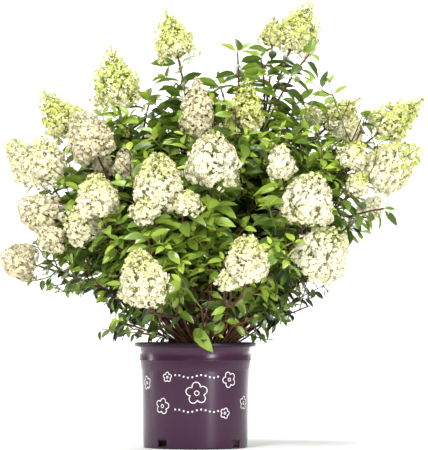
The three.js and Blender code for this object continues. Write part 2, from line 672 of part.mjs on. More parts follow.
function growMass(mass, masses, limbs) {
  const pieces = [];
  const placed = [];
  const wood = [mass.stem, ...mass.sides].flatMap((s) => beads(s.curve, s.u0, s.u1, s.r0, s.r1));
  let draws = 0;
  let leaves = 0;
  let twigs = 0;
  const draw = () => chance(mass.index + 1, ++draws);
  const growth = mass.low ? LOW_LEAF : 1;
  const open = (points) =>
    hasRoom(points, mass, masses, limbs) && points.every((p) => reachTo(p, mass.bloomCores) > 0);

  const addLeaf = (root, along, size, sink) => {
    if (leaves >= MOST_LEAVES) return;
    const level = along.clone();
    level.z = level.z * LEAF_HANG.keep - LEAF_HANG.fall;
    level.normalize();
    const roll = radians(LEAF_HANG.roll) * (draw() - 0.5);
    for (const share of LEAF_TRIES) {
      const plan = leafPlan(root, level, roll, size * share * growth, sink);
      const crowded = plan.probes.some((p) =>
        clearance(p, wood) < WOOD_SPACING || placed.some((q) => p.distanceTo(q) < LEAF_SPACING));
      if (crowded || !open(plan.probes)) continue;
      placed.push(...plan.probes);
      pieces.push(leafSolid(plan));
      leaves++;
      return;
    }
  };

  const addPair = (at, along, turn, angle, size, sink) => {
    addLeaf(at, branchAlong(along, turn, angle), size, sink);
    addLeaf(at, branchAlong(along, turn + Math.PI, angle), size, sink);
  };

  // A twig with a pair of leaves and one at its tip, or a single leaf where a twig has no room
  const addTwig = (from, along, long) => {
    const curve = twigCurve(from, along, long);
    const turn = draw() * Math.PI;
    const probes = TWIG_PROBES.map((share) => curve.getPointAt(share));
    const blocked = !open(probes) || probes.some((p) => clearance(p, wood) < WOOD_SPACING);
    if (blocked || twigs >= MOST_TWIGS) {
      addLeaf(from, along, 1, LEAF_SINK);
      return;
    }
    twigs++;
    pieces.push(taper(curve, 0, 1, TWIG.base, TWIG.tip, TWIG.sides, 1));
    wood.push(...beads(curve, TWIG_WOOD, 1, TWIG.base, TWIG.tip));
    addPair(curve.getPointAt(0.5), curve.getTangentAt(0.5), turn, radians(LEAF_ANGLE), TWIG_LEAF, LEAF_SINK);
    addLeaf(curve.getPointAt(1), curve.getTangentAt(1), 1, TWIG_LEAF_SINK);
  };

  // A stem with a pair of leaves at each joint, or a pair of twigs at every other one
  const addStem = (stem, twiggy) => {
    const steps = Math.max(2, Math.round(stem.length / STEM.step));
    pieces.push(taper(stem.curve, stem.u0, stem.u1, stem.r0, stem.r1, STEM.sides, steps));
    const joints = Math.max(1, Math.round(stem.length / NODE_STEP));
    for (let joint = 0; joint < joints; joint++) {
      const u = stem.u0 + ((stem.u1 - stem.u0) * (joint + JOINT.first)) / (joints + JOINT.bare);
      const at = stem.curve.getPointAt(u);
      const along = stem.curve.getTangentAt(u);
      const turn = joint * (Math.PI / 2) + mass.index + draw() * JOINT.wander;
      if (twiggy && joint % 2 === 0) {
        for (const flip of [0, Math.PI]) {
          const long = TWIG.length * (1 + JOINT.vary * (draw() - 0.5));
          addTwig(at, branchAlong(along, turn + flip, radians(TWIG.angle)), long);
        }
      } else addPair(at, along, turn, radians(LEAF_ANGLE), 1 + JOINT.leafVary * (draw() - 0.5), LEAF_SINK);
    }
  };

  // A stem that doesn't flower ends in two pairs of leaves.
  const addTipLeaves = (side) => {
    const at = side.curve.getPointAt(1);
    const along = side.curve.getTangentAt(1);
    for (const turn of [0, Math.PI / 2]) {
      addPair(at, along, turn + mass.index, radians(TIP_LEAF.angle), TIP_LEAF.size, TIP_LEAF.sink);
    }
  };

  // The stems that don't flower are dressed first, because a mass has only so many leaves.
  for (const side of mass.sides.filter((each) => !each.bloom)) {
    addStem(side, false);
    addTipLeaves(side);
  }
  addStem(mass.stem, true);
  for (const side of mass.sides.filter((each) => each.bloom)) addStem(side, false);
  mass.blooms.forEach((bloom, i) => pieces.push(panicle(bloom, mass.tint, mass.index * 7 + i)));
  return join(pieces);
}

// The whole plant

const shoots = [];
for (const shoot of SHOOTS) shoots.push(planShoot(shoot, shoots.length, shoots));
const limbBeads = shoots.map((shoot) => shoot.limbBeads);
const skirts = SKIRTS.map((skirt, i) => planSkirt(skirt, SHOOTS.length + i, shoots));
const masses = [...shoots.map(planMass), ...skirts];

const plant = new THREE.Group();
plant.add(meshOf("pot", pot(), COLOURS.pot, ROUGHNESS.pot));
plant.add(meshOf("potting_soil", soil(), COLOURS.soil, ROUGHNESS.soil));
plant.add(meshOf("root_crown", crown(0), COLOURS.bark, ROUGHNESS.bark));

// Canes are cut clear of the crown, and boughs of the cane that they fork from.
const crownRoom = crown(GAP);
for (const shoot of shoots) {
  const holder = shoot.parent ? limb(shoot.parent, LIMB_GAP) : crownRoom;
  const kind = shoot.parent ? "bough_" : "cane_";
  const whole = largestBody(limb(shoot, 0).subtract(holder));
  plant.add(meshOf(kind + shoot.name, whole, COLOURS.cane, ROUGHNESS.cane));
}

for (const mass of masses) {
  const grown = growMass(mass, masses, limbBeads);
  const whole = largestBody(mass.low ? grown.subtract(crownRoom) : grown);
  const name = mass.low ? mass.name : "bloom_mass_" + mass.name;
  plant.add(meshOf(name, whole, COLOURS[mass.tint], ROUGHNESS.mass));
}

export default plant;
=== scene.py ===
import math

import bpy
import numpy as np
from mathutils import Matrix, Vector


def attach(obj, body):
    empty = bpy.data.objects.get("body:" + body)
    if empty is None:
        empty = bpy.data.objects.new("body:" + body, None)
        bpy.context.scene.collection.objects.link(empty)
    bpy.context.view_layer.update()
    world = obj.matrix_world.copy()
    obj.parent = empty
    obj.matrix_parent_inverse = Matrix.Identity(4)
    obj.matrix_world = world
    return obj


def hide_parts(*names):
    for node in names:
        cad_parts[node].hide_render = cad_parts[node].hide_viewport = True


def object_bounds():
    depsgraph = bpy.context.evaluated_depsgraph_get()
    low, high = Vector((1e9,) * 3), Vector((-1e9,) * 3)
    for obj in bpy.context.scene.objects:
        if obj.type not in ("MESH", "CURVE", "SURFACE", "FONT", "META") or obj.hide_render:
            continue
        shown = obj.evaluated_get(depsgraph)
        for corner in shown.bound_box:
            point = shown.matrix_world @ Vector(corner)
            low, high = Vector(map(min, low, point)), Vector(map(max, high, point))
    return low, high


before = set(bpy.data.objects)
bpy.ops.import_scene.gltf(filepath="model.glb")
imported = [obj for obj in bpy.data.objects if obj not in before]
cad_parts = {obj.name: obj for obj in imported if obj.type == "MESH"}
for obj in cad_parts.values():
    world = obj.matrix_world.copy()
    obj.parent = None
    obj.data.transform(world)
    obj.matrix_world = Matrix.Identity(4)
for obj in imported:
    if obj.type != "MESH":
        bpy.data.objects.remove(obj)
cad_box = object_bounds()

# Sizes are in millimetres until a mesh is made, and +Z is up. The front faces -Y.
MM = 0.001
UP = np.array([0.0, 0.0, 1.0])

# Pot
POT_HEIGHT = 242
RIM_RADIUS = 140
LIP_DEPTH = 10
NECK_RADIUS = 129.5
STEP_HEIGHT = 200
STEP_WIDTH = 1.2
BEAD = 1.4
FOOT_RADIUS = 119.5
WALL = 1.8
FLOOR = 3
EDGE = 1
POT_SIDES = 160
DRAIN = {"count": 4, "first": 51.5, "width": 25, "height": 16, "above": 4}

# Soil, and the woody crown that the canes rise from
GAP = 0.3
SOIL_TOP = 217
SOIL_FALL = 5
PLUG_INSET = 16
CHIP = {"count": 900, "long": (2, 6), "wide": (1.2, 3), "thick": (0.5, 1.2), "inset": 7, "sunk": 1.6}
BED = {"rows": 26, "columns": 96, "rough": 1.6, "sunk": 2.4, "foot": FLOOR + 4}
CROWN = {"x": 26, "y": 0, "wide": 56, "deep": 44, "high": 34}

# Canes, boughs and the thinner stems: radii at the foot and at the tip
CANE = (5.6, 3.6)
BOUGH = (4.4, 3.0)
STEM_TIP = 2.4
SIDE_STEM = (2.7, 2.1)
SKIRT_STEM = (3.2, 1.7)
YOUNG_STEM = (2.1, 1.3)
TWIG = (1.7, 1.1)
PETIOLE = (1.0, 0.8)
RACHIS = (2.2, 0.8)
STALKLET = (1.0, 0.6)

# How many points each stem is drawn through
POINTS = {"twig": 5, "young": 6, "sucker": 7, "side": 8, "rim_twig": 9, "skirt": 10}

# Where a cane starts on the crown, in shares of the crown's size, and how steeply
START = {"inner": 0.3, "spread": 0.42, "per_mm": 0.0004, "height": 0.35, "lift": 0.35}
SKIRT_START = {"out": 0.8, "height": 0.3, "lift": 0.55, "turn": 0.02, "side": 0.4, "tested": 0.02}

# How a route bends: the share of its length that follows each end, and the tries to swing it clear
ROUTE = {"leave": 0.36, "arrive": 0.3, "follow": 0.55, "tries": 13, "swing": 9, "tested": 0.1}
ROUTE_STEPS = 200
LIMB_CLEARANCE = 5
BEAD_STEP = 12
STEM_STEP = 18

# A mass takes the last part of its shoot: this length, or this share of a short one
MASS_LENGTH = 300
MASS_SHARE = 0.6
SIDE_FORK = {"first": 0.2, "next": 0.14, "leafy": 0.28, "lift": 0.5, "follow": 0.4, "ease": 0.3}

# Where leaves start and end on a stem, in shares of its length, and the share of twigs among them
LIMB_FROM = 0.12
LIMB_TWIGS = 0.85
MASS_TWIGS = 0.5
ON_SIDE_STEM = (0.3, 0.92, 0.1)
ON_LEAFY_SIDE = (0.2, 0.95, 0)
ON_YOUNG_SHOOT = (0.15, 0.95, 0.25)

# A full-grown leaf. Its width, its rib and its distance to the next leaf are shares of its length. One
# that has no room is tried in smaller sizes.
LEAF = {"long": 57, "wide": 0.49, "rib": 0.035, "petiole": 9, "apart": 0.16, "out": 0.8, "on_stalk": 0.04}
LEAF_TRIES = (1, 0.85, 0.74)

# How a leaf hangs: it keeps part of its stem's rise, more of it high up, and falls, less when young or
# high up. Low leaves fall and roll more. Most leaves face away from the crown's middle.
LEAF_HANG = {"keep": 0.6, "from": (420, 820), "young": 0.75, "high": 0.6, "most": 1.9}
LOW_HANG = {"height": (300, 420), "fall": (0.75, 0.22), "roll": (85, 50)}
LEAF_FACES = {"against": 0.3, "least": 0.2}

# How large leaves grow by their height and by their distance to the side
LEAF_GROWTH = ((270, 350, 450, 560, 680, 800, 940), (0.62, 0.7, 0.88, 1.0, 0.92, 0.92, 0.94))
SIDE_GROWTH = ((170, 380), (1.0, 0.76))
PAIR_SIZES = (0.86, 1.12)
JOINT_SIZES = (0.86, 1.14)
SKIRT_SIZES = (0.85, 1.1)

# Leaves stand in opposite pairs, each pair at right angles to the last. Angles are in degrees.
LEAF_ANGLE = 62
YOUNG_CLOSER = 22
TOP_TURN = 1.26
TURN_VARIES = 0.35
SKIRT_TURN_VARIES = 0.3
TIP_PAIRS = ((1, 0.4), (0.7, 0.6))
SKIRT_TIP = (0.3, 0.8, 0.5)
LEAF_ROOM = 5
NODE_STEP = 22
SKIRT_STEP = 24
SKIRT_TWIG = (45, 95)
TWIG_STEP = 23
TWIG_ANGLE = 50
TWIG_LENGTH = (55, 125)
TWIG_GROWTH = {"curl": 0.22, "clear": 4, "finer": 0.8, "forks_over": 80, "forks": 0.45, "fork": 0.42}
TWIG_LEAVES = (0.8, 1)
TWIG_TIP = {"size": 0.72, "young": 0.55, "bud": 0.45}
LEAFY_FROM = 302
TWIGGY_TO = 780
LEAFY_STEP = 14
LEAFY_ANGLE = 80

# Young upright shoots that don't flower: how many on each flowering shoot, and how they leave it
YOUNG = {
    "each": 4, "between": (0.3, 0.8), "long": (110, 210), "angle": 0.6, "lift": 0.5, "rise": 0.3,
    "clear": 6, "below": 790,
}

# A few leaves and twigs that the photo shows apart: the long leaf over the rim, the bare canes' front,
# the fine twigs beyond the rim, the pair close under a green panicle, and the stems among the canes
RIM_LEAF = {
    "shoot": "low_leaves_front", "foot": (0, -128, 274), "tip": (34, -172, 222), "long": 64, "roll": 1.05,
    "young": 0.6, "stalk": (1.4, 1.0), "overlap": 3,
}
BARE_FOOT = {"left": -20, "right": 96, "below": 385, "keep": 0.3}
RIM_TWIGS = {
    "tips": [(-214, -48, 272), (-150, -112, 266), (150, -66, 262), (306, -72, 378), (-342, -44, 428)],
    "leafy": 100, "radii": (1.8, 1.0), "height": 0.5, "out": 0.8, "arch": 14, "turn": 0.4, "size": 0.9,
}
PANICLE_PAIR = {"below": 9, "angle": 104, "sizes": (0.78, 0.92)}
SUCKERS = {
    "count": 60, "long": (80, 200), "lean": (0.3, 2.4), "out": (0.5, 0.9), "height": 0.3,
    "leaves": (0.6, 0.95, 0.3), "leafy": 2, "radii": (2.6, 1.3),
}

# A turn that never repeats, for whatever is spread round an axis
GOLDEN_TURN = 2.39996

# A direction that no stem follows, which turns round a stem are counted from
ACROSS = np.array([0.31, 0.95, 0.05])

# How far the leaves reach from the pot's axis by their height, at the left and at the right
UNDERSIDE = {
    "height": (236, 244, 273, 292, 320, 336, 350, 375, 400, 430),
    "left": (100, 232, 232, 206, 206, 240, 326, 390, 430, 600),
    "right": (100, 180, 208, 232, 266, 296, 320, 345, 372, 600),
}

# How far a stem reaches into its panicle
PANICLE_HOLD = 16

# The room that leaves keep free outside a panicle: the least, the most and the share of its distance from
# the crown's middle. Those at the front are free further out.
PANICLE_OPEN = (50, 90, 0.3)
BAR = {"end": 0.42, "radius": 0.47, "shades": 0.72}
FRONT_OPEN = {"from": 150, "far": 240}

# Panicles are lumpy domes of round clusters of florets, the green ones of smaller florets. First come a
# floret's width and how densely they cover, then the same of a cluster and how far it may lie off the dome.
FLORET = {"full": (9.2, 1.15), "lime": (7.4, 1.0), "tip": 0.56, "per_area": 2.6, "sizes": (0.8, 1.2)}
FLORET_POSE = {"behind": -0.25, "tilt": 0.35, "ruffle": 0.3}
CLUSTER = {"full": (9.6, 1.7, 3.0), "lime": (8.6, 1.15, 5.0), "tip": 0.4, "foot": 2.2, "widest": 0.2}
CLUSTER_SIZES = (0.7, 1.15)
WOBBLE = {"full": (0.12, -0.12), "lime": (0.16, 0.1)}
DOME_SLOPE = {"level": 0.36, "steep": 2.1, "least": -0.6, "most": 1.6}
BUDS = {"full": 0.05, "lime": 0.12, "sizes": (1.0, 1.9)}
HEARTS = {"per_area": 0.022, "inset": 0.14, "sizes": (2.6, 4.4)}
STALKLETS = {"apart": 5, "fewest": 8, "inset": 0.16, "top": 0.92}

# The most triangles in a piece of leaves or blossom, and how far leaves may pass the CAD's box
PIECE_TRIANGLES = 170000
PAST_CAD = 4
SEED = 41


def flowering(name, at, bloom, rise, tint, fork=(None, 0), more=()):
    """A flowering shoot: the middle of its panicle, the panicle's length and width, the angle at which it
    rises and its colour. A bough forks from a cane, at a share of the cane's length. A shoot with no fork
    is a cane itself. Its side stems follow under more."""
    return {"name": name, "at": at, "bloom": bloom, "rise": rise, "tint": tint, "fork": fork, "more": more}


def bloom_at(at, bloom, tint=None):
    return {"at": at, "bloom": bloom, "tint": tint}


def leaves_at(at):
    return {"at": at, "bloom": None, "tint": None}


SHOOTS = [
    flowering("far_left_high", (-324, 60, 780), (130, 96), 56, "lime"),
    flowering("left_high", (-245, -90, 715), (118, 98), 64, "blush", more=[
        bloom_at((-214, -40, 652), (52, 50)),
        bloom_at((-160, -66, 652), (80, 52)),
    ]),
    flowering("far_left_low", (-360, -60, 540), (108, 94), 24, "blush", more=[
        bloom_at((-330, -118, 482), (64, 56)),
    ]),
    flowering("top_left", (-55, 40, 960), (128, 92), 74, "lime"),
    flowering("top_right", (245, 60, 980), (138, 104), 66, "lime", more=[
        bloom_at((182, 104, 972), (80, 60)),
        leaves_at((262, -30, 905)),
        leaves_at((152, 20, 900)),
    ]),
    flowering("right_high", (345, 130, 780), (127, 82), 40, "lime", more=[
        bloom_at((362, 62, 738), (75, 60), "cream"),
        bloom_at((270, 180, 782), (66, 54)),
        leaves_at((212, 84, 776)),
    ]),
    flowering("far_right", (458, -40, 652), (149, 100), 34, "tipped", more=[
        bloom_at((365, -70, 672), (70, 58)),
        bloom_at((372, -96, 606), (60, 46)),
        leaves_at((430, -60, 548)),
    ]),
    flowering("right_low", (286, -215, 447), (128, 118), 50, "white"),
    flowering("left_front", (-80, -260, 600), (135, 110), 75, "cream", more=[
        bloom_at((-14, -304, 556), (52, 54)),
        bloom_at((-112, -288, 536), (52, 52)),
    ]),
    flowering("centre_front", (40, -230, 655), (122, 112), 72, "white"),
    flowering("back_left", (-175, 300, 665), (125, 100), 62, "cream", more=[
        bloom_at((-95, 250, 730), (70, 56)),
    ]),
    flowering("back_middle", (-20, 355, 500), (120, 108), 50, "white", more=[
        bloom_at((70, 360, 450), (60, 54)),
    ]),
    flowering("back_right", (165, 310, 640), (125, 104), 60, "cream", more=[
        bloom_at((250, 280, 590), (66, 56)),
    ]),
    flowering("far_left_mid", (-345, -20, 660), (122, 86), 74, "cream",
              fork=("far_left_high", 0.5), more=[bloom_at((-404, 48, 668), (118, 72))]),
    flowering("left_inner", (-220, -190, 575), (100, 86), 78, "cream",
              fork=("left_high", 0.42), more=[bloom_at((-257, -128, 515), (92, 80))]),
    flowering("low_left", (-409, 0, 430), (88, 86), 14, "blush", fork=("far_left_low", 0.4)),
    flowering("left_top", (-190, 90, 864), (158, 106), 83, "lime",
              fork=("top_left", 0.35), more=[leaves_at((-108, 52, 800))]),
    flowering("inner_cream", (5, -60, 780), (140, 74), 84, "blush", fork=("top_left", 0.55)),
    flowering("top_middle", (115, -20, 790), (130, 88), 84, "lime", fork=("top_right", 0.42), more=[
        leaves_at((98, 6, 912)),
        leaves_at((58, 34, 836)),
    ]),
    flowering("far_right_high", (478, 40, 768), (148, 92), 37, "lime", fork=("right_high", 0.5)),
    flowering("right_front", (256, -238, 566), (118, 110), 74, "white",
              fork=("right_low", 0.4), more=[bloom_at((195, -200, 650), (80, 62))]),
    flowering("low_left_front", (-115, -330, 390), (125, 106), 66, "cream", fork=("left_front", 0.32)),
    flowering("low_right_front", (115, -350, 428), (108, 98), 80, "cream",
              fork=("centre_front", 0.3), more=[bloom_at((74, -352, 380), (44, 46))]),
    flowering("back_left_low", (-310, 235, 490), (110, 92), 42, "blush",
              fork=("back_left", 0.36), more=[bloom_at((-372, 150, 545), (64, 56))]),
    flowering("back_top", (-5, 215, 775), (130, 92), 74, "lime", fork=("back_right", 0.42)),
    flowering("back_right_low", (330, 235, 510), (110, 96), 42, "white",
              fork=("back_right", 0.3), more=[bloom_at((415, 140, 560), (66, 56))]),
]

# Low leafy shoots that spread from the crown just over the rim: the tip of each
SKIRTS = [
    {"name": "low_leaves_left", "tip": (-178, -20, 292)},
    {"name": "low_leaves_right", "tip": (262, -34, 326)},
    {"name": "low_leaves_front", "tip": (15, -235, 320)},
    {"name": "low_leaves_back", "tip": (20, 245, 330)},
]

rng = np.random.default_rng(SEED)


# Directions and places

def unit(v):
    return v / np.linalg.norm(v)


def turned(v, axis, angle):
    """v turned about a unit axis"""
    across = np.cross(axis, v)
    return v * math.cos(angle) + across * math.sin(angle) + axis * np.dot(axis, v) * (1 - math.cos(angle))


def frac(values):
    return values - np.floor(values)


def unit_rows(rows):
    return rows / np.linalg.norm(rows, axis=1)[:, None]


def around(count):
    """Even turns round a circle"""
    return np.arange(count) * 2 * math.pi / count


def crown_side(bearing):
    """From the crown's middle out to its side"""
    return np.array([CROWN["wide"] * math.cos(bearing), CROWN["deep"] * math.sin(bearing), 0])


def crown_middle(share):
    """The crown's middle at a share of its height"""
    return np.array([CROWN["x"], CROWN["y"], SOIL_TOP + CROWN["high"] * share])


# Routes

class Route:
    """A smooth curve through control points, read by shares of its length"""

    def __init__(self, *controls):
        self.controls = np.array(controls, float)
        self.steps = np.linspace(0, 1, ROUTE_STEPS + 1)
        gaps = np.linalg.norm(np.diff(self.point(self.steps), axis=0), axis=1)
        self.reached = np.concatenate([[0], np.cumsum(gaps)])
        self.length = self.reached[-1]

    def point(self, t):
        t = np.atleast_1d(t)[:, None]
        last = len(self.controls) - 1
        weights = [math.comb(last, i) * (1 - t) ** (last - i) * t**i for i in range(last + 1)]
        return sum(w * c for w, c in zip(weights, self.controls))

    def share(self, u):
        return np.interp(np.asarray(u) * self.length, self.reached, self.steps)

    def at(self, u):
        return self.point(self.share(u))[0]

    def many(self, us):
        return self.point(self.share(us))

    def along(self, u):
        t = float(self.share(u))
        low, high = max(0, t - 1e-4), min(1, t + 1e-4)
        return unit(self.point(high)[0] - self.point(low)[0])


def beads(route, u0, u1, r0, r1):
    """The stretch of a limb as balls along its middle"""
    count = max(3, math.ceil(route.length * (u1 - u0) / BEAD_STEP))
    shares = np.linspace(0, 1, count + 1)
    return route.many(u0 + (u1 - u0) * shares), r0 + (r1 - r0) * shares


def room_between(balls, others):
    """The least distance from any of the balls to any of the others"""
    (points, radii), (centres, sizes) = balls, others
    away = np.linalg.norm(points[:, None] - centres[None], axis=2)
    return (away - sizes[None] - radii[:, None]).min()


def bearing_of(point):
    return math.atan2(point[1] - CROWN["y"], point[0] - CROWN["x"])


def axis_of(middle, rise):
    bearing = bearing_of(middle)
    flat = math.cos(rise)
    return np.array([flat * math.cos(bearing), flat * math.sin(bearing), math.sin(rise)])


def cane_start(middle, rise):
    """A cane starts on the crown at its own bearing, the outer ones lower and further out."""
    bearing = bearing_of(middle)
    reach = math.hypot(middle[0], middle[1])
    out = START["inner"] + START["spread"] * math.cos(rise) + START["per_mm"] * reach
    at = np.array([
        CROWN["x"] + CROWN["wide"] * out * math.cos(bearing),
        CROWN["y"] + CROWN["deep"] * out * math.sin(bearing),
        SOIL_TOP + CROWN["high"] * START["height"],
    ])
    return at, unit(unit(middle - at) + UP * START["lift"])


def fork_start(parent, share, middle):
    u = parent["limb_end"] * share
    at = parent["route"].at(u)
    return at, unit(unit(middle - at) + parent["route"].along(u) * ROUTE["follow"])


def route_of(start, base, axis, swing):
    at, along = start
    length = np.linalg.norm(base - at)
    side = unit(np.cross(axis, UP))
    first = at + along * length * ROUTE["leave"] + side * swing
    second = base - axis * length * ROUTE["arrive"] + side * swing
    return Route(at, first, second, base)


def clear_route(route_for, others, radius, tested):
    """A route is swung aside, a little further each time, until it clears the shoots before it. Its
    first share up to tested is left out, where it starts close to them."""
    best = None
    best_room = -1e6
    for attempt in range(ROUTE["tries"]):
        swing = (-1 if attempt % 2 else 1) * math.ceil(attempt / 2) * ROUTE["swing"]
        route = route_for(swing)
        balls = beads(route, tested, 1, radius, STEM_TIP)
        room = min((room_between(balls, other["beads"]) for other in others), default=1e6)
        if room > best_room:
            best, best_room = route, room
        if best_room > LIMB_CLEARANCE:
            break
    return best


def bloom_of(root, axis, size, tint):
    long, wide = size
    return {"root": root, "axis": axis, "long": long, "wide": wide, "tint": tint, "phase": root.sum() / 9}


def plan_shoot(shoot, planned):
    forks_from, share = shoot["fork"]
    parent = next((other for other in planned if other["name"] == forks_from), None)
    foot, tip = BOUGH if parent else CANE
    middle = np.array(shoot["at"], float)
    rise = math.radians(shoot["rise"])
    axis = axis_of(middle, rise)
    long, wide = shoot["bloom"]
    root = middle - axis * long / 2
    base = root + axis * PANICLE_HOLD
    start = fork_start(parent, share, middle) if parent else cane_start(middle, rise)
    others = [other for other in planned if other is not parent]
    route = clear_route(lambda swing: route_of(start, base, axis, swing), others, foot, ROUTE["tested"])
    limb_end = 1 - min(MASS_LENGTH, route.length * MASS_SHARE) / route.length
    limb_balls = beads(route, 0, limb_end, foot, tip)
    stem_balls = beads(route, limb_end, 1, tip, STEM_TIP)
    both = tuple(np.concatenate(pair) for pair in zip(limb_balls, stem_balls))
    bloom = bloom_of(root, axis, (long, wide), shoot["tint"])
    return {
        "name": shoot["name"], "route": route, "limb_end": limb_end, "foot": foot, "tip": tip,
        "beads": both, "blooms": [bloom], "more": shoot["more"],
    }


def side_stem(shoot, spot, index):
    """A side stem leaves the main one and ends in a smaller panicle, or in leaves alone."""
    target = np.array(spot["at"], float)
    share = SIDE_FORK["first"] + SIDE_FORK["next"] * index if spot["bloom"] else SIDE_FORK["leafy"]
    u = shoot["limb_end"] + (1 - shoot["limb_end"]) * share
    start = shoot["route"].at(u)
    reach = np.linalg.norm(target - start)
    axis = unit(unit(target - start) + UP * SIDE_FORK["lift"])
    long, wide = spot["bloom"] or (0, 0)
    root = target - axis * long / 2
    base = root + axis * PANICLE_HOLD if long else target
    follow = start + shoot["route"].along(u) * reach * SIDE_FORK["follow"]
    bend = follow + (base - follow) * SIDE_FORK["ease"]
    tint = spot["tint"] or shoot["blooms"][0]["tint"]
    bloom = bloom_of(root, axis, (long, wide), tint) if long else None
    return Route(start, bend, base), bloom


def plan_skirt(skirt, planned):
    tip = np.array(skirt["tip"], float)

    def route_for(swing):
        bearing = bearing_of(tip) + swing * SKIRT_START["turn"]
        outward = crown_side(bearing)
        at = crown_middle(SKIRT_START["height"]) + outward * SKIRT_START["out"]
        along = unit(unit(outward) + UP * SKIRT_START["lift"])
        return route_of((at, along), tip, unit(tip - at), swing * SKIRT_START["side"])

    return clear_route(route_for, planned, SKIRT_STEM[0], SKIRT_START["tested"])


# Room for leaves and twigs

class Bars:
    """Rounded bars that nothing else may enter: the panicles"""

    def __init__(self, blooms):
        halves = [max(1, b["long"] / 2 - b["wide"] * BAR["end"]) for b in blooms]
        middles = np.array([b["root"] + b["axis"] * b["long"] / 2 for b in blooms])
        self.a = np.array([m - b["axis"] * h for m, b, h in zip(middles, blooms, halves)])
        self.along = np.array([b["axis"] * 2 * h for b, h in zip(blooms, halves)])
        self.radius = np.array([b["wide"] * BAR["radius"] for b in blooms])
        outward = middles * np.array([1, 1, 0]) - np.array([CROWN["x"], CROWN["y"], 0])
        far = np.linalg.norm(outward, axis=1)
        least, most, share = PANICLE_OPEN
        front = np.flatnonzero(middles[:, 1] < FRONT_OPEN["from"])
        forward = np.tile([0.0, -1.0, 0.0], (len(front), 1))
        deep = np.full(len(front), FRONT_OPEN["far"])
        self.open = np.concatenate([np.clip(far * share, least, most), deep])
        self.outward = np.concatenate([outward / far[:, None], forward])
        self.foot = np.concatenate([self.a, self.a[front]])
        self.width = np.concatenate([self.radius, self.radius[front]])
        line = np.concatenate([self.along, self.along[front]])
        self.rise = (line * self.outward).sum(1)
        self.flat = line - self.rise[:, None] * self.outward

    def reach(self, points):
        """How far each point lies outside the nearest bar"""
        share = ((points[:, None] - self.a) * self.along).sum(2) / (self.along**2).sum(1)
        nearest = self.a + np.clip(share, 0, 1)[..., None] * self.along
        return (np.linalg.norm(points[:, None] - nearest, axis=2) - self.radius).min(1)

    def shades(self, points):
        """Whether any point lies close outside a panicle, where it would hide it"""
        away = points[:, None] - self.foot
        out = (away * self.outward).sum(2)
        away = away - out[..., None] * self.outward
        share = np.clip((away * self.flat).sum(2) / (self.flat**2).sum(1), 0, 1)
        beside = np.linalg.norm(away - share[..., None] * self.flat, axis=2)
        out = out - share * self.rise
        close = (out > 0) & (out < self.open + self.width)
        return bool((close & (beside < self.width * BAR["shades"])).any())


def clear_of_pot(points):
    out = np.hypot(points[:, 0], points[:, 1])
    above = points[:, 2] > POT_HEIGHT + LEAF_ROOM
    beside = out > RIM_RADIUS + LEAF_ROOM
    inside = (out < NECK_RADIUS - LEAF_ROOM) & (points[:, 2] > SOIL_TOP + LEAF_ROOM)
    return bool(np.all(above | beside | inside))


def over_underside(points):
    """Whether all points keep within the crown's underside, which narrows down to the pot's rim"""
    out = np.hypot(points[:, 0], points[:, 1])
    rightward = 0.5 + 0.5 * points[:, 0] / np.maximum(out, 1)
    left = np.interp(points[:, 2], UNDERSIDE["height"], UNDERSIDE["left"])
    right = np.interp(points[:, 2], UNDERSIDE["height"], UNDERSIDE["right"])
    return bool(np.all(out < left + (right - left) * rightward))


def before_stems(point):
    """Whether a point lies low in front of the bare canes"""
    x, y, z = point
    return BARE_FOOT["left"] < x < BARE_FOOT["right"] and y < CROWN["y"] and z < BARE_FOOT["below"]


class Plant:
    """Everything that has grown so far, as lists of numbers that the meshes are made from"""

    def __init__(self, blooms, box):
        self.bars = Bars(blooms)
        self.low, self.high = box
        self.leaves = []
        self.stems = []
        self.leaf_points = np.zeros((0, 3))

    def add_stem(self, route, count, radii, kind, start=0):
        self.stems.append((route.many(np.linspace(start, 1, count)), radii, kind))

    def inside(self, points):
        return bool(np.all(points > self.low) and np.all(points < self.high))

    def open(self, points, margin=0):
        return self.inside(points) and clear_of_pot(points) and self.bars.reach(points).min() > margin


# Growth

def branch_along(along, turn, angle):
    """The direction that leaves a stem at an angle from it, round it by a turn"""
    across = unit(ACROSS - along * np.dot(ACROSS, along))
    return along * math.cos(angle) + turned(across, along, turn) * math.sin(angle)


def opposite(along, turn, degrees):
    """The two directions of a pair that leaves a stem"""
    return [branch_along(along, turn + flip, math.radians(degrees)) for flip in (0, math.pi)]


def leaf_pose(at, along, young):
    """How a leaf hangs from its joint: along its rib, across its blade and up from it"""
    high = np.interp(at[2], LEAF_HANG["from"], [0, 1])
    keep = LEAF_HANG["keep"]
    level = along * np.array([1, 1, keep + (1 - keep) * high])
    fall = np.interp(at[2], LOW_HANG["height"], LOW_HANG["fall"])
    fall = fall * (1 - LEAF_HANG["young"] * young) * (1 - LEAF_HANG["high"] * high)
    level = unit(level - UP * fall * rng.uniform(0, LEAF_HANG["most"]))
    side = unit(np.cross(UP, level))
    roll = math.radians(np.interp(at[2], LOW_HANG["height"], LOW_HANG["roll"]))
    spin = rng.uniform(-1, 1)
    outward = side[0] * (at[0] - CROWN["x"]) + side[1] * (at[1] - CROWN["y"])
    if abs(spin) > LEAF_FACES["against"]:
        least = LEAF_FACES["least"]
        spin = -math.copysign(least + (1 - least) * abs(spin), outward)
    side = turned(side, level, roll * spin)
    return level, side, np.cross(level, side)


def leaf_probes(foot, level, side, lift, long):
    """Points of a leaf: three across its blade, and two on its rib towards the tip"""
    near, edge, far, tip = 0.3, 0.22, 0.8, 1
    places = [(near, 0, 0), (0.5, edge, 0), (0.5, -edge, 0), (far, 0, 0.06), (tip, 0, 0.14)]
    return np.array([foot + level * long * a + side * long * b - lift * long * c for a, b, c in places])


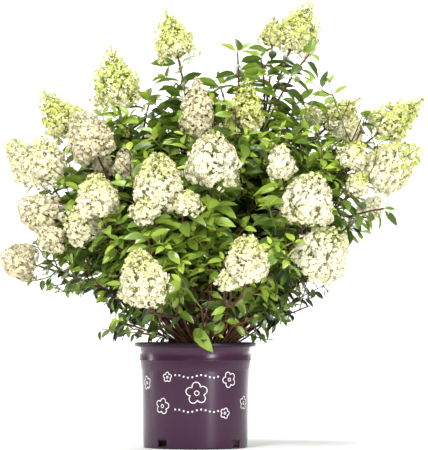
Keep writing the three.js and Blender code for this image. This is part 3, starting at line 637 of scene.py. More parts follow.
def add_leaf(plant, at, along, size, young):
    """One leaf on its stalk, in the first size at which it doesn't run into anything"""
    level, side, lift = leaf_pose(at, along, young)
    size = size * np.interp(at[2], *LEAF_GROWTH) * np.interp(abs(at[0]), *SIDE_GROWTH)
    stalk = LEAF["petiole"] * size
    foot = at + unit(along + level * LEAF["out"]) * stalk
    for share in LEAF_TRIES:
        long = LEAF["long"] * size * share
        probes = leaf_probes(foot, level, side, lift, long)
        if not plant.open(probes) or plant.bars.shades(probes) or not over_underside(probes):
            continue
        middle = probes[:3].mean(0)
        if before_stems(middle) and rng.random() > BARE_FOOT["keep"]:
            return
        near = plant.leaf_points - middle
        if len(near) and (np.einsum("ij,ij->i", near, near) < (long * LEAF["apart"]) ** 2).any():
            continue
        plant.leaf_points = np.vstack([plant.leaf_points, middle])
        plant.leaves.append((foot, level, side, lift, long, young))
        plant.stems.append(([at, foot + level * long * LEAF["on_stalk"]], PETIOLE, "petiole"))
        return


def add_pair(plant, route, u, turn, size, young):
    """Two leaves on either side of a stem"""
    at = route.at(u)
    for out in opposite(route.along(u), turn, LEAF_ANGLE - YOUNG_CLOSER * young):
        add_leaf(plant, at, out, size * rng.uniform(*PAIR_SIZES), young)


def add_twig(plant, at, along, long, order):
    """A leafy twig that curls up, with a pair of leaves at each joint and young ones at its tip"""
    end = at + along * long + UP * long * TWIG_GROWTH["curl"]
    route = Route(at, at + along * long * 0.5, end)
    probes = route.many(np.linspace(0.25, 1, 6))
    if not plant.open(probes, TWIG_GROWTH["clear"]) or not over_underside(probes):
        return False
    radii = TWIG if order == 1 else tuple(radius * TWIG_GROWTH["finer"] for radius in TWIG)
    plant.add_stem(route, POINTS["twig"], radii, "twig")
    joints = max(1, round(long / TWIG_STEP))
    turn = rng.uniform(0, math.pi)
    for joint in range(1, joints + 1):
        u = joint / joints
        last = joint == joints
        size = TWIG_TIP["size"] if last else rng.uniform(*TWIG_LEAVES)
        add_pair(plant, route, u, turn + joint * math.pi / 2, size, TWIG_TIP["young"] if last else 0)
        if last:
            add_pair(plant, route, u, turn + math.pi / 2 + joint * math.pi / 2, TWIG_TIP["bud"], 1)
        elif order == 1 and long > TWIG_GROWTH["forks_over"] and rng.random() < TWIG_GROWTH["forks"]:
            out = branch_along(route.along(u), turn + joint * math.pi / 2, math.radians(TWIG_ANGLE))
            add_twig(plant, route.at(u), out, long * TWIG_GROWTH["fork"], 2)
    return True


def dress(plant, route, u0, u1, twigs, step=NODE_STEP, angle=LEAF_ANGLE):
    """Pairs of leaves at the joints of a stem, with twigs in place of the lower ones"""
    length = route.length * (u1 - u0)
    joints = max(1, round(length / step))
    for joint in range(joints):
        share = (joint + 0.5) / joints
        u = u0 + (u1 - u0) * share
        at = route.at(u)
        if at[2] < LEAFY_FROM:
            continue
        along = route.along(u)
        turn = (joint + 1 - joints) * math.pi / 2 - TOP_TURN + rng.uniform(-TURN_VARIES, TURN_VARIES)
        twiggy = twigs * (1 - share) > rng.uniform(0, 1) and at[2] < TWIGGY_TO
        for twig_way, leaf_way in zip(opposite(along, turn, TWIG_ANGLE), opposite(along, turn, angle)):
            if twiggy and add_twig(plant, at, twig_way, rng.uniform(*TWIG_LENGTH), 1):
                continue
            add_leaf(plant, at, leaf_way, rng.uniform(*JOINT_SIZES), 0)


def add_tip(plant, route):
    """Two crossed pairs of young leaves at the end of a stem, the last pair smaller and paler"""
    turn = rng.uniform(0, math.pi)
    for i, (size, young) in enumerate(TIP_PAIRS):
        add_pair(plant, route, 1, turn + i * math.pi / 2, size, young)


def add_panicle_pair(plant, route):
    """A pair of leaves spreads close under the panicle"""
    u = 1 - PANICLE_PAIR["below"] / route.length
    for out in opposite(route.along(u), -TOP_TURN, PANICLE_PAIR["angle"]):
        add_leaf(plant, route.at(u), out, rng.uniform(*PANICLE_PAIR["sizes"]), 0)


def add_leafy_shoot(plant, parent_route, u):
    """A young upright shoot that doesn't flower"""
    at = parent_route.at(u)
    out = branch_along(parent_route.along(u), rng.uniform(0, 2 * math.pi), YOUNG["angle"])
    along = unit(out + UP * YOUNG["lift"])
    long = rng.uniform(*YOUNG["long"])
    route = Route(at, at + along * long * 0.5, at + along * long * 0.8 + UP * long * YOUNG["rise"])
    probes = route.many(np.linspace(0.2, 1, 8))
    if route.at(1)[2] > YOUNG["below"] or not plant.open(probes, YOUNG["clear"]):
        return
    plant.add_stem(route, POINTS["young"], YOUNG_STEM, "stem")
    dress(plant, route, *ON_YOUNG_SHOOT)
    add_tip(plant, route)


def grow_shoot(plant, shoot):
    """A shoot's upper stem and its side stems, with their leaves and twigs"""
    route = shoot["route"]
    end = shoot["limb_end"]
    count = max(6, round(route.length * (1 - end) / STEM_STEP))
    plant.add_stem(route, count, (shoot["tip"], STEM_TIP), "stem", end)
    dress(plant, route, LIMB_FROM, end, LIMB_TWIGS)
    dress(plant, route, end, 1 - PANICLE_HOLD / route.length, MASS_TWIGS)
    if shoot["blooms"][0]["tint"] == "lime":
        add_panicle_pair(plant, route)
    for side, bloom in shoot["sides"]:
        plant.add_stem(side, POINTS["side"], SIDE_STEM, "stem")
        if bloom:
            dress(plant, side, *ON_SIDE_STEM)
        else:
            dress(plant, side, *ON_LEAFY_SIDE, LEAFY_STEP, LEAFY_ANGLE)
            add_tip(plant, side)
    for u in rng.uniform(*YOUNG["between"], YOUNG["each"]):
        add_leafy_shoot(plant, route, u)


def grow():
    """The whole plant by the source's rule, carried on to finer twigs"""
    planned = []
    for shoot in SHOOTS:
        planned.append(plan_shoot(shoot, planned))
    for shoot in planned:
        shoot["sides"] = [side_stem(shoot, spot, i) for i, spot in enumerate(shoot["more"])]
        shoot["blooms"] += [bloom for _, bloom in shoot["sides"] if bloom]
    blooms = [bloom for shoot in planned for bloom in shoot["blooms"]]
    low = np.array(cad_box[0]) / MM - PAST_CAD
    high = np.array(cad_box[1]) / MM + PAST_CAD
    plant = Plant(blooms, (low, high))
    for shoot in planned:
        grow_shoot(plant, shoot)
    add_rim_twigs(plant)
    add_suckers(plant)
    for skirt in SKIRTS:
        route = plan_skirt(skirt, planned)
        plant.add_stem(route, POINTS["skirt"], SKIRT_STEM, "stem")
        dress_skirt(plant, route)
        if skirt["name"] == RIM_LEAF["shoot"]:
            add_rim_leaf(plant, route)
    return plant, planned, blooms


def add_suckers(plant):
    """Thin young stems that rise from the crown among the canes and carry a few leaves at the top"""
    for i in range(SUCKERS["count"]):
        out = crown_side(i * GOLDEN_TURN)
        at = crown_middle(SUCKERS["height"]) + out * rng.uniform(*SUCKERS["out"])
        long = rng.uniform(*SUCKERS["long"])
        lean = unit(unit(out) * rng.uniform(*SUCKERS["lean"]) + UP)
        route = Route(at, at + lean * long * 0.45, at + lean * long * 0.8 + UP * long * 0.2)
        plant.add_stem(route, POINTS["sucker"], SUCKERS["radii"], "sucker")
        if i % SUCKERS["leafy"] == 0:
            dress(plant, route, *SUCKERS["leaves"])
            add_tip(plant, route)


def add_rim_twigs(plant):
    """Fine twigs that reach out low beyond the rim, with small leaves towards the tip"""
    for tip in RIM_TWIGS["tips"]:
        end = np.array(tip, float)
        out = unit(end * np.array([1, 1, 0]))
        at = crown_middle(RIM_TWIGS["height"]) + out * CROWN["deep"] * RIM_TWIGS["out"]
        route = Route(at, at + (end - at) * 0.5 + UP * RIM_TWIGS["arch"], end)
        plant.add_stem(route, POINTS["rim_twig"], RIM_TWIGS["radii"], "twig")
        start = 1 - RIM_TWIGS["leafy"] / route.length
        joints = round(route.length * (1 - start) / NODE_STEP)
        for joint in range(joints + 1):
            u = start + (1 - start) * joint / joints
            turn = joint * math.pi / 2 + RIM_TWIGS["turn"]
            add_pair(plant, route, u, turn, RIM_TWIGS["size"], 0)


def add_rim_leaf(plant, route):
    """One long bright leaf hangs over the rim at the front."""
    foot = np.array(RIM_LEAF["foot"], float)
    level = unit(np.array(RIM_LEAF["tip"], float) - foot)
    side = turned(unit(np.cross(UP, level)), level, RIM_LEAF["roll"])
    plant.leaves.append((foot, level, side, np.cross(level, side), RIM_LEAF["long"], RIM_LEAF["young"]))
    shares = np.linspace(0, 1, 40)
    near = np.linalg.norm(route.many(shares) - foot, axis=1).argmin()
    ends = [route.at(shares[near]), foot + level * RIM_LEAF["overlap"]]
    plant.stems.append((ends, RIM_LEAF["stalk"], "petiole"))


def dress_skirt(plant, route):
    """A low shoot carries its leaves from where it clears the rim."""
    joints = max(2, round(route.length / SKIRT_STEP))
    for joint in range(1, joints + 1):
        u = joint / joints
        turn = joint * math.pi / 2 + rng.uniform(-SKIRT_TURN_VARIES, SKIRT_TURN_VARIES)
        for out in opposite(route.along(u), turn, TWIG_ANGLE):
            if joint % 3 == 0 and add_twig(plant, route.at(u), out, rng.uniform(*SKIRT_TWIG), 1):
                continue
            add_leaf(plant, route.at(u), out, rng.uniform(*SKIRT_SIZES), 0)
    add_pair(plant, route, 1, *SKIRT_TIP)


# Meshes from arrays

class Sheaf:
    """Gathers triangles of many small pieces for one joined mesh"""

    def __init__(self):
        self.points = []
        self.faces = []
        self.slots = []

    def add(self, points, faces, slots):
        self.points.append(points)
        self.faces.append(faces)
        self.slots.append(np.broadcast_to(slots, len(faces)))

    def mesh(self, name, materials, slot, *nodes):
        firsts = np.cumsum([0] + [len(points) for points in self.points[:-1]])
        points = np.concatenate(self.points) * MM
        faces = np.concatenate([faces + first for faces, first in zip(self.faces, firsts)])
        slots = np.concatenate(self.slots)
        return mesh_object(name, points, faces, slots, materials, nodes)

    def meshes(self, name, materials, slot, *nodes):
        """The same as mesh, but shared out evenly into numbered pieces that aren't too large"""
        reached = np.cumsum([len(faces) for faces in self.faces])
        number = math.ceil(reached[-1] / PIECE_TRIANGLES)
        owner = np.minimum((reached - 1) * number // reached[-1], number - 1)
        for i in range(number):
            part = Sheaf()
            for j in np.flatnonzero(owner == i):
                part.add(self.points[j], self.faces[j], self.slots[j])
            part.mesh(f"{name}_{i + 1}", materials, slot, *nodes)


def mesh_object(name, points, faces, slots, materials, nodes):
    data = bpy.data.meshes.new(name)
    corners = faces.shape[1]
    data.vertices.add(len(points))
    data.vertices.foreach_set("co", points.astype(np.float32).ravel())
    data.loops.add(faces.size)
    data.loops.foreach_set("vertex_index", faces.astype(np.int32).ravel())
    data.polygons.add(len(faces))
    data.polygons.foreach_set("loop_start", np.arange(0, faces.size, corners, dtype=np.int32))
    data.polygons.foreach_set("material_index", slots.astype(np.int32))
    data.polygons.foreach_set("use_smooth", np.ones(len(faces), bool))
    data.update(calc_edges=True)
    data.validate()
    for material in materials:
        data.materials.append(material)
    piece = placed(name, data)
    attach(piece, "root")
    if nodes:
        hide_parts(*nodes)
    return piece


def placed(name, data):
    thing = bpy.data.objects.new(name, data)
    bpy.context.scene.collection.objects.link(thing)
    return thing


def grid_faces(rows, columns, closed):
    """Triangles over a grid of points, row by row. A closed grid joins its last column to its first."""
    across = np.arange(columns if closed else columns - 1)
    row, column = np.meshgrid(np.arange(rows - 1), across, indexing="ij")
    a = (row * columns + column).ravel()
    b = (row * columns + (column + 1) % columns).ravel()
    return np.concatenate([np.stack([a, b, b + columns], 1), np.stack([a, b + columns, a + columns], 1)])


def tube(points, radii, sides):
    """Rings of points along a line, with a point at each end, and the triangles over them"""
    points = np.asarray(points, float)
    tangents = np.gradient(points, axis=0)
    across = ACROSS
    rings = []
    turns = around(sides)
    for at, tangent, radius in zip(points, tangents, radii):
        along = unit(tangent)
        across = unit(across - along * np.dot(across, along))
        over = np.cross(along, across)
        rings.append(at + radius * (np.cos(turns)[:, None] * across + np.sin(turns)[:, None] * over))
    body = np.concatenate(rings)
    faces = grid_faces(len(points), sides, True)
    ends = np.array([points[0], points[-1]])
    first = len(body)
    last_row = first - sides
    caps = []
    for i in range(sides):
        j = (i + 1) % sides
        caps.append((first, j, i))
        caps.append((first + 1, last_row + i, last_row + j))
    return np.concatenate([body, ends]), np.concatenate([faces, caps])


# Materials

def linear(r, g, b):
    """A colour as it looks on a screen, 0 to 255, as light"""
    shares = [c / 255 for c in (r, g, b)]
    return tuple(s / 12.92 if s <= 0.04045 else ((s + 0.055) / 1.055) ** 2.4 for s in shares) + (1.0,)


def plain(name, colour, roughness, sheen=0.3):
    material = bpy.data.materials.new(name)
    material.use_nodes = True
    shader = material.node_tree.nodes["Principled BSDF"]
    shader.inputs["Base Color"].default_value = linear(*colour)
    shader.inputs["Roughness"].default_value = roughness
    shader.inputs["Specular IOR Level"].default_value = sheen
    return material


def noise_in(material, scale, detail):
    """A noise that is fixed to the piece"""
    nodes = material.node_tree.nodes
    place = nodes.new("ShaderNodeTexCoord")
    noise = nodes.new("ShaderNodeTexNoise")
    noise.inputs["Scale"].default_value = scale
    noise.inputs["Detail"].default_value = detail
    material.node_tree.links.new(place.outputs["Object"], noise.inputs["Vector"])
    return noise.outputs["Fac"]


def tones_over(material, noise, dark, light, ends):
    """The base colour runs from the dark tone to the light one between two values of the noise."""
    nodes = material.node_tree.nodes
    links = material.node_tree.links
    ramp = nodes.new("ShaderNodeValToRGB")
    for element, colour, end in zip(ramp.color_ramp.elements, (dark, light), ends):
        element.position = end
        element.color = linear(*colour)
    links.new(noise, ramp.inputs["Fac"])
    links.new(ramp.outputs["Color"], nodes["Principled BSDF"].inputs["Base Color"])


def raise_by(material, noise, strength, distance):
    nodes = material.node_tree.nodes
    links = material.node_tree.links
    relief = nodes.new("ShaderNodeBump")
    relief.inputs["Strength"].default_value = strength
    relief.inputs["Distance"].default_value = distance
    links.new(noise, relief.inputs["Height"])
    links.new(relief.outputs["Normal"], nodes["Principled BSDF"].inputs["Normal"])


def speckled(name, dark, light, scale, roughness, bump, distance):
    """A surface with two tones in a fine noise, and the same noise raised as bumps"""
    material = plain(name, dark, roughness)
    noise = noise_in(material, scale, detail=6)
    tones_over(material, noise, dark, light, ends=(0.35, 0.68))
    raise_by(material, noise, bump, distance)
    return material


def plastic(name, dark, light, roughness, sheen):
    """Moulded plastic, slightly cloudy and with a faint grain"""
    material = plain(name, dark, roughness, sheen)
    clouds = noise_in(material, scale=9, detail=3)
    grain = noise_in(material, scale=900, detail=2)
    tones_over(material, clouds, dark, light, ends=(0, 1))
    raise_by(material, grain, strength=0.08, distance=0.4 * MM)
    return material


# Leaves

LEAF_OUTLINE = [(0, 0.05), (0.13, 0.62), (0.36, 1), (0.62, 0.9), (0.84, 0.5), (1, 0.02)]

# How far each leaf shape arches down, folds up from its rib, twists and ripples
LEAF_SHAPES = [
    (0.16, 0.34, 0.15, 0.05), (0.28, 0.28, -0.2, 0.08), (0.42, 0.20, 0.1, 0.06),
    (0.22, 0.46, -0.1, 0.04), (0.36, 0.38, 0.25, 0.08), (0.10, 0.22, 0.0, 0.05),
]
RIPPLES = 15
RIB_SUNK = 0.006


def leaf_template(arch, fold, twist, wave):
    """A leaf of unit length: its rib runs along x, its blade folds up from the rib and arches down."""
    rows, widths = np.array(LEAF_OUTLINE).T
    half = widths * LEAF["wide"] / 2
    rib = np.minimum(LEAF["rib"] / 2 * (1.15 - rows), half * 0.6)
    y = np.stack([-half, -rib, rib, half], 1)
    x = np.broadcast_to(rows[:, None], y.shape).copy()
    lean = twist * rows[:, None] * y
    ripple = wave * np.sin(rows[:, None] * RIPPLES) * np.abs(y)
    z = np.abs(y) * fold - arch * rows[:, None] ** 2 + lean + ripple
    z[:, 1:3] -= RIB_SUNK
    return np.stack([x, y, z], 2).reshape(-1, 3)


def leaf_pieces(leaves):
    """Every leaf from a few templates, each in one of the greens"""
    templates = [leaf_template(*shape) for shape in LEAF_SHAPES]
    faces = grid_faces(len(LEAF_OUTLINE), 4, False)
    rib_face = np.all(np.isin(faces % 4, [1, 2]), axis=1)
    sheaf = Sheaf()
    for foot, level, side, lift, long, young in leaves:
        template = templates[rng.integers(len(templates))]
        wide = rng.uniform(0.9, 1.15)
        local = template * np.array([long, long * wide, long])
        points = foot + local @ np.array([level, side, lift])
        tone = leaf_tone(foot, young)
        # Young and bright leaves get the pale rib and the rest the darker one, so the rib follows the
        # blade's painted light and shade.
        sheaf.add(points, faces, np.where(rib_face, len(GREENS) + (tone > 1), tone))
    return sheaf


# Leaf greens: the young one is the colour of new leaves, while bright, mid, deep and shade are one leaf
# green painted lighter or darker by place, as painted light and shade with a random spread.
GREENS = [
    ("leaf_young", (166, 190, 68), 0.32),
    ("leaf_bright", (136, 164, 56), 0.28),
    ("leaf_mid", (106, 134, 48), 0.28),
    ("leaf_deep", (76, 100, 36), 0.3),
    ("leaf_shade", (34, 48, 16), 0.36),
]
RIBS = [("leaf_rib_pale", (160, 178, 92), 0.4), ("leaf_rib", (104, 128, 60), 0.4)]


# Which green a leaf takes, partly at random and partly as painted light and shade: lighter away from the
# crown's middle and higher up, a little lighter low at the foot, and painted shade at both sides and at the
# lower right. Each row is a range of places in millimetres and what it adds.
LIGHT = {"far": 330, "across": 0.8, "deep": 1.15, "level": 440, "per_mm": 900, "more": 0.09, "varies": 0.5}
LIGHT_LOW = ([290, 400], [0.06, 0])
LIGHT_SIDES = ([100, 220], [0, -0.24])
LIGHT_RIGHT = ([80, 180], [0, -0.3])
RIGHT_BELOW = ([480, 600], [1, 0.3])
GREEN_STEPS = ([0, 0.3, 0.6, 0.95, 1], [4, 3.2, 2.3, 1.2, 1])


def leaf_tone(at, young):
    """The youngest leaves are yellow-green. The rest take painted light and shade, from bright to shade by
    where they hang, with a random spread.
    """
    if young > 0.9:
        return 0
    if young > 0.5:
        return rng.choice([0, 1], p=[0.4, 0.6])
    x, y, z = at
    out = math.hypot((x - CROWN["x"]) * LIGHT["across"], y * LIGHT["deep"]) / LIGHT["far"]
    out += (z - LIGHT["level"]) / LIGHT["per_mm"] + np.interp(z, *LIGHT_LOW)
    out += np.interp(abs(x - CROWN["x"]), *LIGHT_SIDES)
    out += np.interp(x, *LIGHT_RIGHT) * np.interp(z, *RIGHT_BELOW)
    share = np.clip(out + LIGHT["more"] + rng.uniform(-LIGHT["varies"], LIGHT["varies"]), 0, 1)
    return int(np.interp(share, *GREEN_STEPS) + 0.5)


# Florets

def floret_template(cup):
    """Four rounded sepals in a cross, one unit wide, facing +Z"""
    tip = cup * 0.8
    sepal = np.array([(0.27, -0.2, cup), (0.27, 0.2, cup), (0.49, -0.1, tip), (0.49, 0.1, tip)])
    points = [(0.0, 0.0, 0.0)]
    faces = []
    for i in range(4):
        angle = i * math.pi / 2
        ca, sa = math.cos(angle), math.sin(angle)
        first = len(points)
        points += [(x * ca - y * sa, x * sa + y * ca, z + 0.03 * (i % 2)) for x, y, z in sepal]
        faces += [(0, first, first + 1), (first, first + 2, first + 3), (first, first + 3, first + 1)]
    return np.array(points), np.array(faces)


def bead_template():
    """A small eight-sided bead"""
    points = np.array([(1, 0, 0), (0, 1, 0), (-1, 0, 0), (0, -1, 0), (0, 0, 1), (0, 0, -1)], float)
    faces = [(0, 1, 4), (1, 2, 4), (2, 3, 4), (3, 0, 4), (1, 0, 5), (2, 1, 5), (3, 2, 5), (0, 3, 5)]
    return points, np.array(faces)


# The outline of each kind of panicle, as shares of its length and of its width
DOME = {"lime": [(0, 0.72), (0.1, 0.98), (0.24, 1), (0.5, 0.76), (0.74, 0.48), (0.9, 0.26), (1, 0.1)],
        "full": [(0, 0.66), (0.12, 0.96), (0.28, 1), (0.5, 0.92), (0.74, 0.73), (0.9, 0.5), (1, 0.26)]}
PETALS = [
    ("petal_lime", (198, 206, 94), 0.6),
    ("petal_lime_cream", (222, 224, 148), 0.6),
    ("petal_cream", (231, 225, 180), 0.6),
    ("petal_white", (242, 238, 210), 0.6),
    ("petal_blush", (226, 216, 186), 0.6),
    ("petal_tan", (196, 183, 151), 0.65),
    ("bud_green", (140, 158, 52), 0.6),
    ("heart_green", (140, 154, 66), 0.7),
    ("heart_cream", (208, 204, 154), 0.7),
]
LIME, LIME_CREAM, CREAM, WHITE, BLUSH, TAN, BUD, HEART, PALE_HEART = range(9)

# The colours of a panicle's florets at its foot, middle and tip, and the heights where they change
MIX = {
    "lime": [(LIME_CREAM, CREAM, CREAM), (LIME_CREAM, LIME_CREAM, LIME), (LIME_CREAM, LIME, LIME)],
    "white": [(WHITE, WHITE, CREAM), (WHITE, WHITE, WHITE), (CREAM, LIME_CREAM, LIME_CREAM)],
    "tipped": [(WHITE, WHITE, CREAM), (WHITE, CREAM, LIME_CREAM), (LIME_CREAM, LIME, LIME)],
    "cream": [(WHITE, WHITE, CREAM), (WHITE, CREAM, CREAM), (CREAM, LIME_CREAM, LIME_CREAM)],
    "blush": [(BLUSH, CREAM, TAN), (CREAM, BLUSH, BLUSH), (CREAM, BLUSH, TAN)],
}
CHANGE = {
    "lime": (0.22, 0.62), "white": (0.3, 0.84), "tipped": (0.4, 0.66), "cream": (0.45, 0.66),
    "blush": (0.3, 0.7),
}


def kind_of(bloom):
    return "lime" if bloom["tint"] == "lime" else "full"


def spread(bloom, count, room):
    """Places on a panicle's lumpy dome, that room inside it, with the direction that each faces"""
    long, wide, axis = bloom["long"], bloom["wide"], bloom["axis"]
    stations, widths = zip(*DOME[kind_of(bloom)])
    fine = np.linspace(0, 1, 60)
    area = np.cumsum(np.interp(fine, stations, widths) + 0.1)
    area = (area - area[0]) / (area[-1] - area[0])
    share = np.interp((np.arange(count) + rng.uniform(0.2, 0.8, count)) / count, area, fine)
    turn = np.arange(count) * GOLDEN_TURN + rng.uniform(-0.3, 0.3, count)
    lump = np.sin(2 * turn + bloom["phase"]) + np.sin(3 * turn + 7 * share + 2 * bloom["phase"])
    width = np.interp(share, stations, widths)
    wave, shift = WOBBLE[kind_of(bloom)]
    radius = np.maximum(width * wide / 2 * (1 + wave * (lump / 2 + shift)) - room, 0)
    side = unit(np.cross(axis, np.array([0.2, 1.0, 0.1])))
    over = np.cross(axis, side)
    outward = np.cos(turn)[:, None] * side + np.sin(turn)[:, None] * over
    height = room + share * (long - 1.3 * room)
    places = bloom["root"] + height[:, None] * axis + radius[:, None] * outward
    slope = (share - DOME_SLOPE["level"]) * DOME_SLOPE["steep"]
    slope = np.clip(slope, DOME_SLOPE["least"], DOME_SLOPE["most"])
    return places, unit_rows(outward + slope[:, None] * axis), share


def clusters_of(bloom):
    """A panicle branches into small round clusters. They shrink towards its tip and vary in size."""
    size, cover, scatter = CLUSTER[kind_of(bloom)]
    size = min(size, bloom["wide"] * CLUSTER["widest"])
    dome = math.pi * bloom["wide"] * bloom["long"] * 0.75
    count = max(7, int(cover * dome / (math.pi * size**2)))
    places, facing, share = spread(bloom, count, size * 0.75)
    shrink = np.interp(share, [0, 0.5, 1], [1, 1, CLUSTER["tip"]])
    sizes = size * shrink * rng.uniform(*CLUSTER_SIZES, count)
    shrink = shrink * np.interp(share, [0, 0.3], [CLUSTER["foot"], 1])
    places = places + facing * (rng.normal(0, scatter, count) * shrink)[:, None]
    return places, facing, share, sizes


def florets_of(bloom):
    """Florets over the outer side of every cluster: where each is, its facing, size and height"""
    wide, cover = FLORET[kind_of(bloom)]
    places, facing, share, sizes = clusters_of(bloom)
    widths = wide * np.interp(share, [0, 0.6, 1], [1, 0.95, FLORET["tip"]])
    areas = cover * FLORET["per_area"] * math.pi * sizes**2
    counts = np.maximum(4, areas / (math.pi / 4 * widths**2)).astype(int)
    owner = np.repeat(np.arange(len(places)), counts)
    way = unit_rows(rng.normal(0, 1, (len(owner), 3)))
    behind = (way * facing[owner]).sum(1)
    way = way - facing[owner] * np.where(behind < FLORET_POSE["behind"], 2 * behind, 0)[:, None]
    at = places[owner] + way * (sizes[owner] * rng.uniform(*CLUSTER_SIZES, len(owner)))[:, None]
    ruffle = rng.normal(0, FLORET_POSE["ruffle"], way.shape)
    look = unit_rows(way + FLORET_POSE["tilt"] * facing[owner] + ruffle)
    return at, look, widths[owner] * rng.uniform(*FLORET["sizes"], len(owner)), share[owner]


def place_many(template, faces, places, facing, sizes):
    """Copies of a template, each turned to its own facing"""
    count = len(places)
    spin = rng.uniform(0, 2 * math.pi, count)
    helper = np.where(np.abs(facing[:, 2:]) < 0.9, UP, np.array([1.0, 0.0, 0.0]))
    side = unit_rows(np.cross(helper, facing))
    over = np.cross(facing, side)
    x = np.cos(spin)[:, None] * side + np.sin(spin)[:, None] * over
    y = np.cross(facing, x)
    basis = np.stack([x, y, facing], 1)
    points = places[:, None] + np.einsum("mk,nkj->nmj", template, basis) * sizes[:, None, None]
    shift = (np.arange(count) * len(template))[:, None, None]
    return points.reshape(-1, 3), (faces[None] + shift).reshape(-1, 3)


def tones_of(tint, share):
    """The colour of each floret by its height on the panicle, mixed at random"""
    first, second = CHANGE[tint]
    height = share + rng.normal(0, 0.08, len(share))
    level = (height > first).astype(int) + (height > second)
    pick = rng.integers(0, 3, len(share))
    return np.array(MIX[tint])[level, pick]


FLORETS = [floret_template(cup) for cup in (0.06, 0.12, 0.18)]


def add_panicle(sheaf, bloom):
    """Florets over the clusters, and buds between them"""
    at, look, sizes, share = florets_of(bloom)
    tones = tones_of(bloom["tint"], share)
    template, faces = FLORETS[rng.integers(len(FLORETS))]
    points, corners = place_many(template, faces, at, look, sizes)
    sheaf.add(points, corners, np.repeat(tones, len(faces)))
    buds = int(len(at) * BUDS[kind_of(bloom)])
    chosen = rng.choice(len(at), buds, replace=False)
    template, faces = bead_template()
    size = rng.uniform(*BUDS["sizes"], buds)
    points, corners = place_many(template, faces, at[chosen], look[chosen], size)
    sheaf.add(points, corners, np.repeat(np.where(share[chosen] > 0.5, BUD, LIME), len(faces)))
    inside = int(HEARTS["per_area"] * bloom["wide"] * bloom["long"])
    places, facing, height = spread(bloom, inside, bloom["wide"] * HEARTS["inset"])
    size = rng.uniform(*HEARTS["sizes"], inside) * np.interp(height, [0.6, 1], [1, 0.3])
    points, corners = place_many(template, faces, places, facing, size)
    sheaf.add(points, corners, HEART if bloom["tint"] == "lime" else PALE_HEART)


def panicle_stems(plant, bloom):
    """The stalk inside a panicle and the stalklets out to its clusters"""
    long, wide, axis = bloom["long"], bloom["wide"], bloom["axis"]
    top = bloom["root"] + axis * long * STALKLETS["top"]
    plant.stems.append(([bloom["root"], (bloom["root"] + top) / 2, top], RACHIS, "rachis"))
    number = max(STALKLETS["fewest"], int(long / STALKLETS["apart"]))
    places, _, share = spread(bloom, number, wide * STALKLETS["inset"])
    for place, height in zip(places, share):
        foot = bloom["root"] + axis * long * max(0.02, height * 0.85 - 0.1)
        plant.stems.append(([foot, place], STALKLET, "rachis"))


# Bark, stems, pot and soil

# The size of a bark flake, the mesh of a cane or bough, and how much it swells at its joints
FLAKE = {"high": 7, "wide": 5}
LIMB_SIDES = 10
LIMB_STEP = 6
JOINT_SWELLS = 0.14


def bark_relief(points, centre_line, strength):
    """Pushes bark in and out in long flakes"""
    x, y, z = points.T
    wave = np.sin(x * 1.9 + z * 0.11) + np.sin(y * 2.3 - z * 0.17)
    flake = frac(np.sin(np.floor(z / FLAKE["high"]) * 12.9 + np.floor(x / FLAKE["wide"]) * 78.2) * 43758.5)
    away = points - centre_line
    size = np.linalg.norm(away, axis=1)[:, None]
    return points + away / np.maximum(size, 1e-6) * (strength * (0.35 * wave + flake - 0.5))[:, None]


def limb_into(sheaf, shoot):
    """One cane or bough from its foot to where its mass takes over, with a swelling at each joint"""
    route, end = shoot["route"], shoot["limb_end"]
    count = max(8, round(route.length * end / LIMB_STEP))
    shares = np.linspace(0, 1, count)
    line = route.many(shares * end)
    radii = shoot["foot"] + (shoot["tip"] - shoot["foot"]) * shares
    joint = np.abs(frac(shares * route.length * end / NODE_STEP) - 0.5)
    radii = radii * (1 + JOINT_SWELLS * np.clip((joint - 0.4) / 0.1, 0, 1))
    points, faces = tube(line, radii, LIMB_SIDES)
    middles = np.concatenate([np.repeat(line, LIMB_SIDES, axis=0), line[:1], line[-1:]])
    points = bark_relief(points, middles, 0.5)
    sheaf.add(points, faces, 0)


def crown_into(sheaf):
    """The knob of old wood at the foot of the canes"""
    rows, columns = 14, 48
    share = np.linspace(0, 1, rows)
    turn = around(columns)
    radius = np.interp(share, [0, 0.18, 0.55, 0.88, 1], [1, 1, 0.86, 0.52, 0.03])
    ripple = 1 + 0.07 * np.sin(turn * 5 + 1) + 0.04 * np.sin(turn * 11)
    x = CROWN["x"] + CROWN["wide"] * 0.97 * radius[:, None] * ripple * np.cos(turn)
    y = CROWN["y"] + CROWN["deep"] * 0.97 * radius[:, None] * ripple * np.sin(turn)
    z = np.broadcast_to((SOIL_TOP + GAP + share * (CROWN["high"] - 1))[:, None], x.shape)
    points = np.stack([x, y, z], 2).reshape(-1, 3)
    centre = np.array([CROWN["x"], CROWN["y"], SOIL_TOP + CROWN["high"] / 3])
    points = bark_relief(points, np.broadcast_to(centre, points.shape), 1.3)
    points[:, 2] = np.maximum(points[:, 2], SOIL_TOP + GAP)
    sheaf.add(points, grid_faces(rows, columns, True), 1)


def bark_piece(planned, nodes):
    sheaf = Sheaf()
    crown_into(sheaf)
    for shoot in planned:
        limb_into(sheaf, shoot)
    cane = speckled("cane_bark", (52, 32, 24), (112, 76, 54), scale=260, roughness=0.75, bump=0.35,
                    distance=0.6 * MM)
    old = speckled("old_bark", (46, 32, 24), (104, 80, 60), scale=150, roughness=0.9, bump=0.6, distance=MM)
    return sheaf.mesh("bark", [cane, old], "cane_bark", *nodes)


STEM_BARKS = [
    ("stem_bark", (98, 60, 46), 0.55),
    ("twig_bark", (112, 72, 50), 0.6),
    ("stalk_green", (138, 150, 70), 0.55),
    ("twig_green", (108, 116, 52), 0.55),
    ("stem_bark_dark", (78, 46, 40), 0.55),
    ("rachis_green", (120, 134, 56), 0.6),
    ("sucker_bark", (122, 84, 56), 0.6),
]

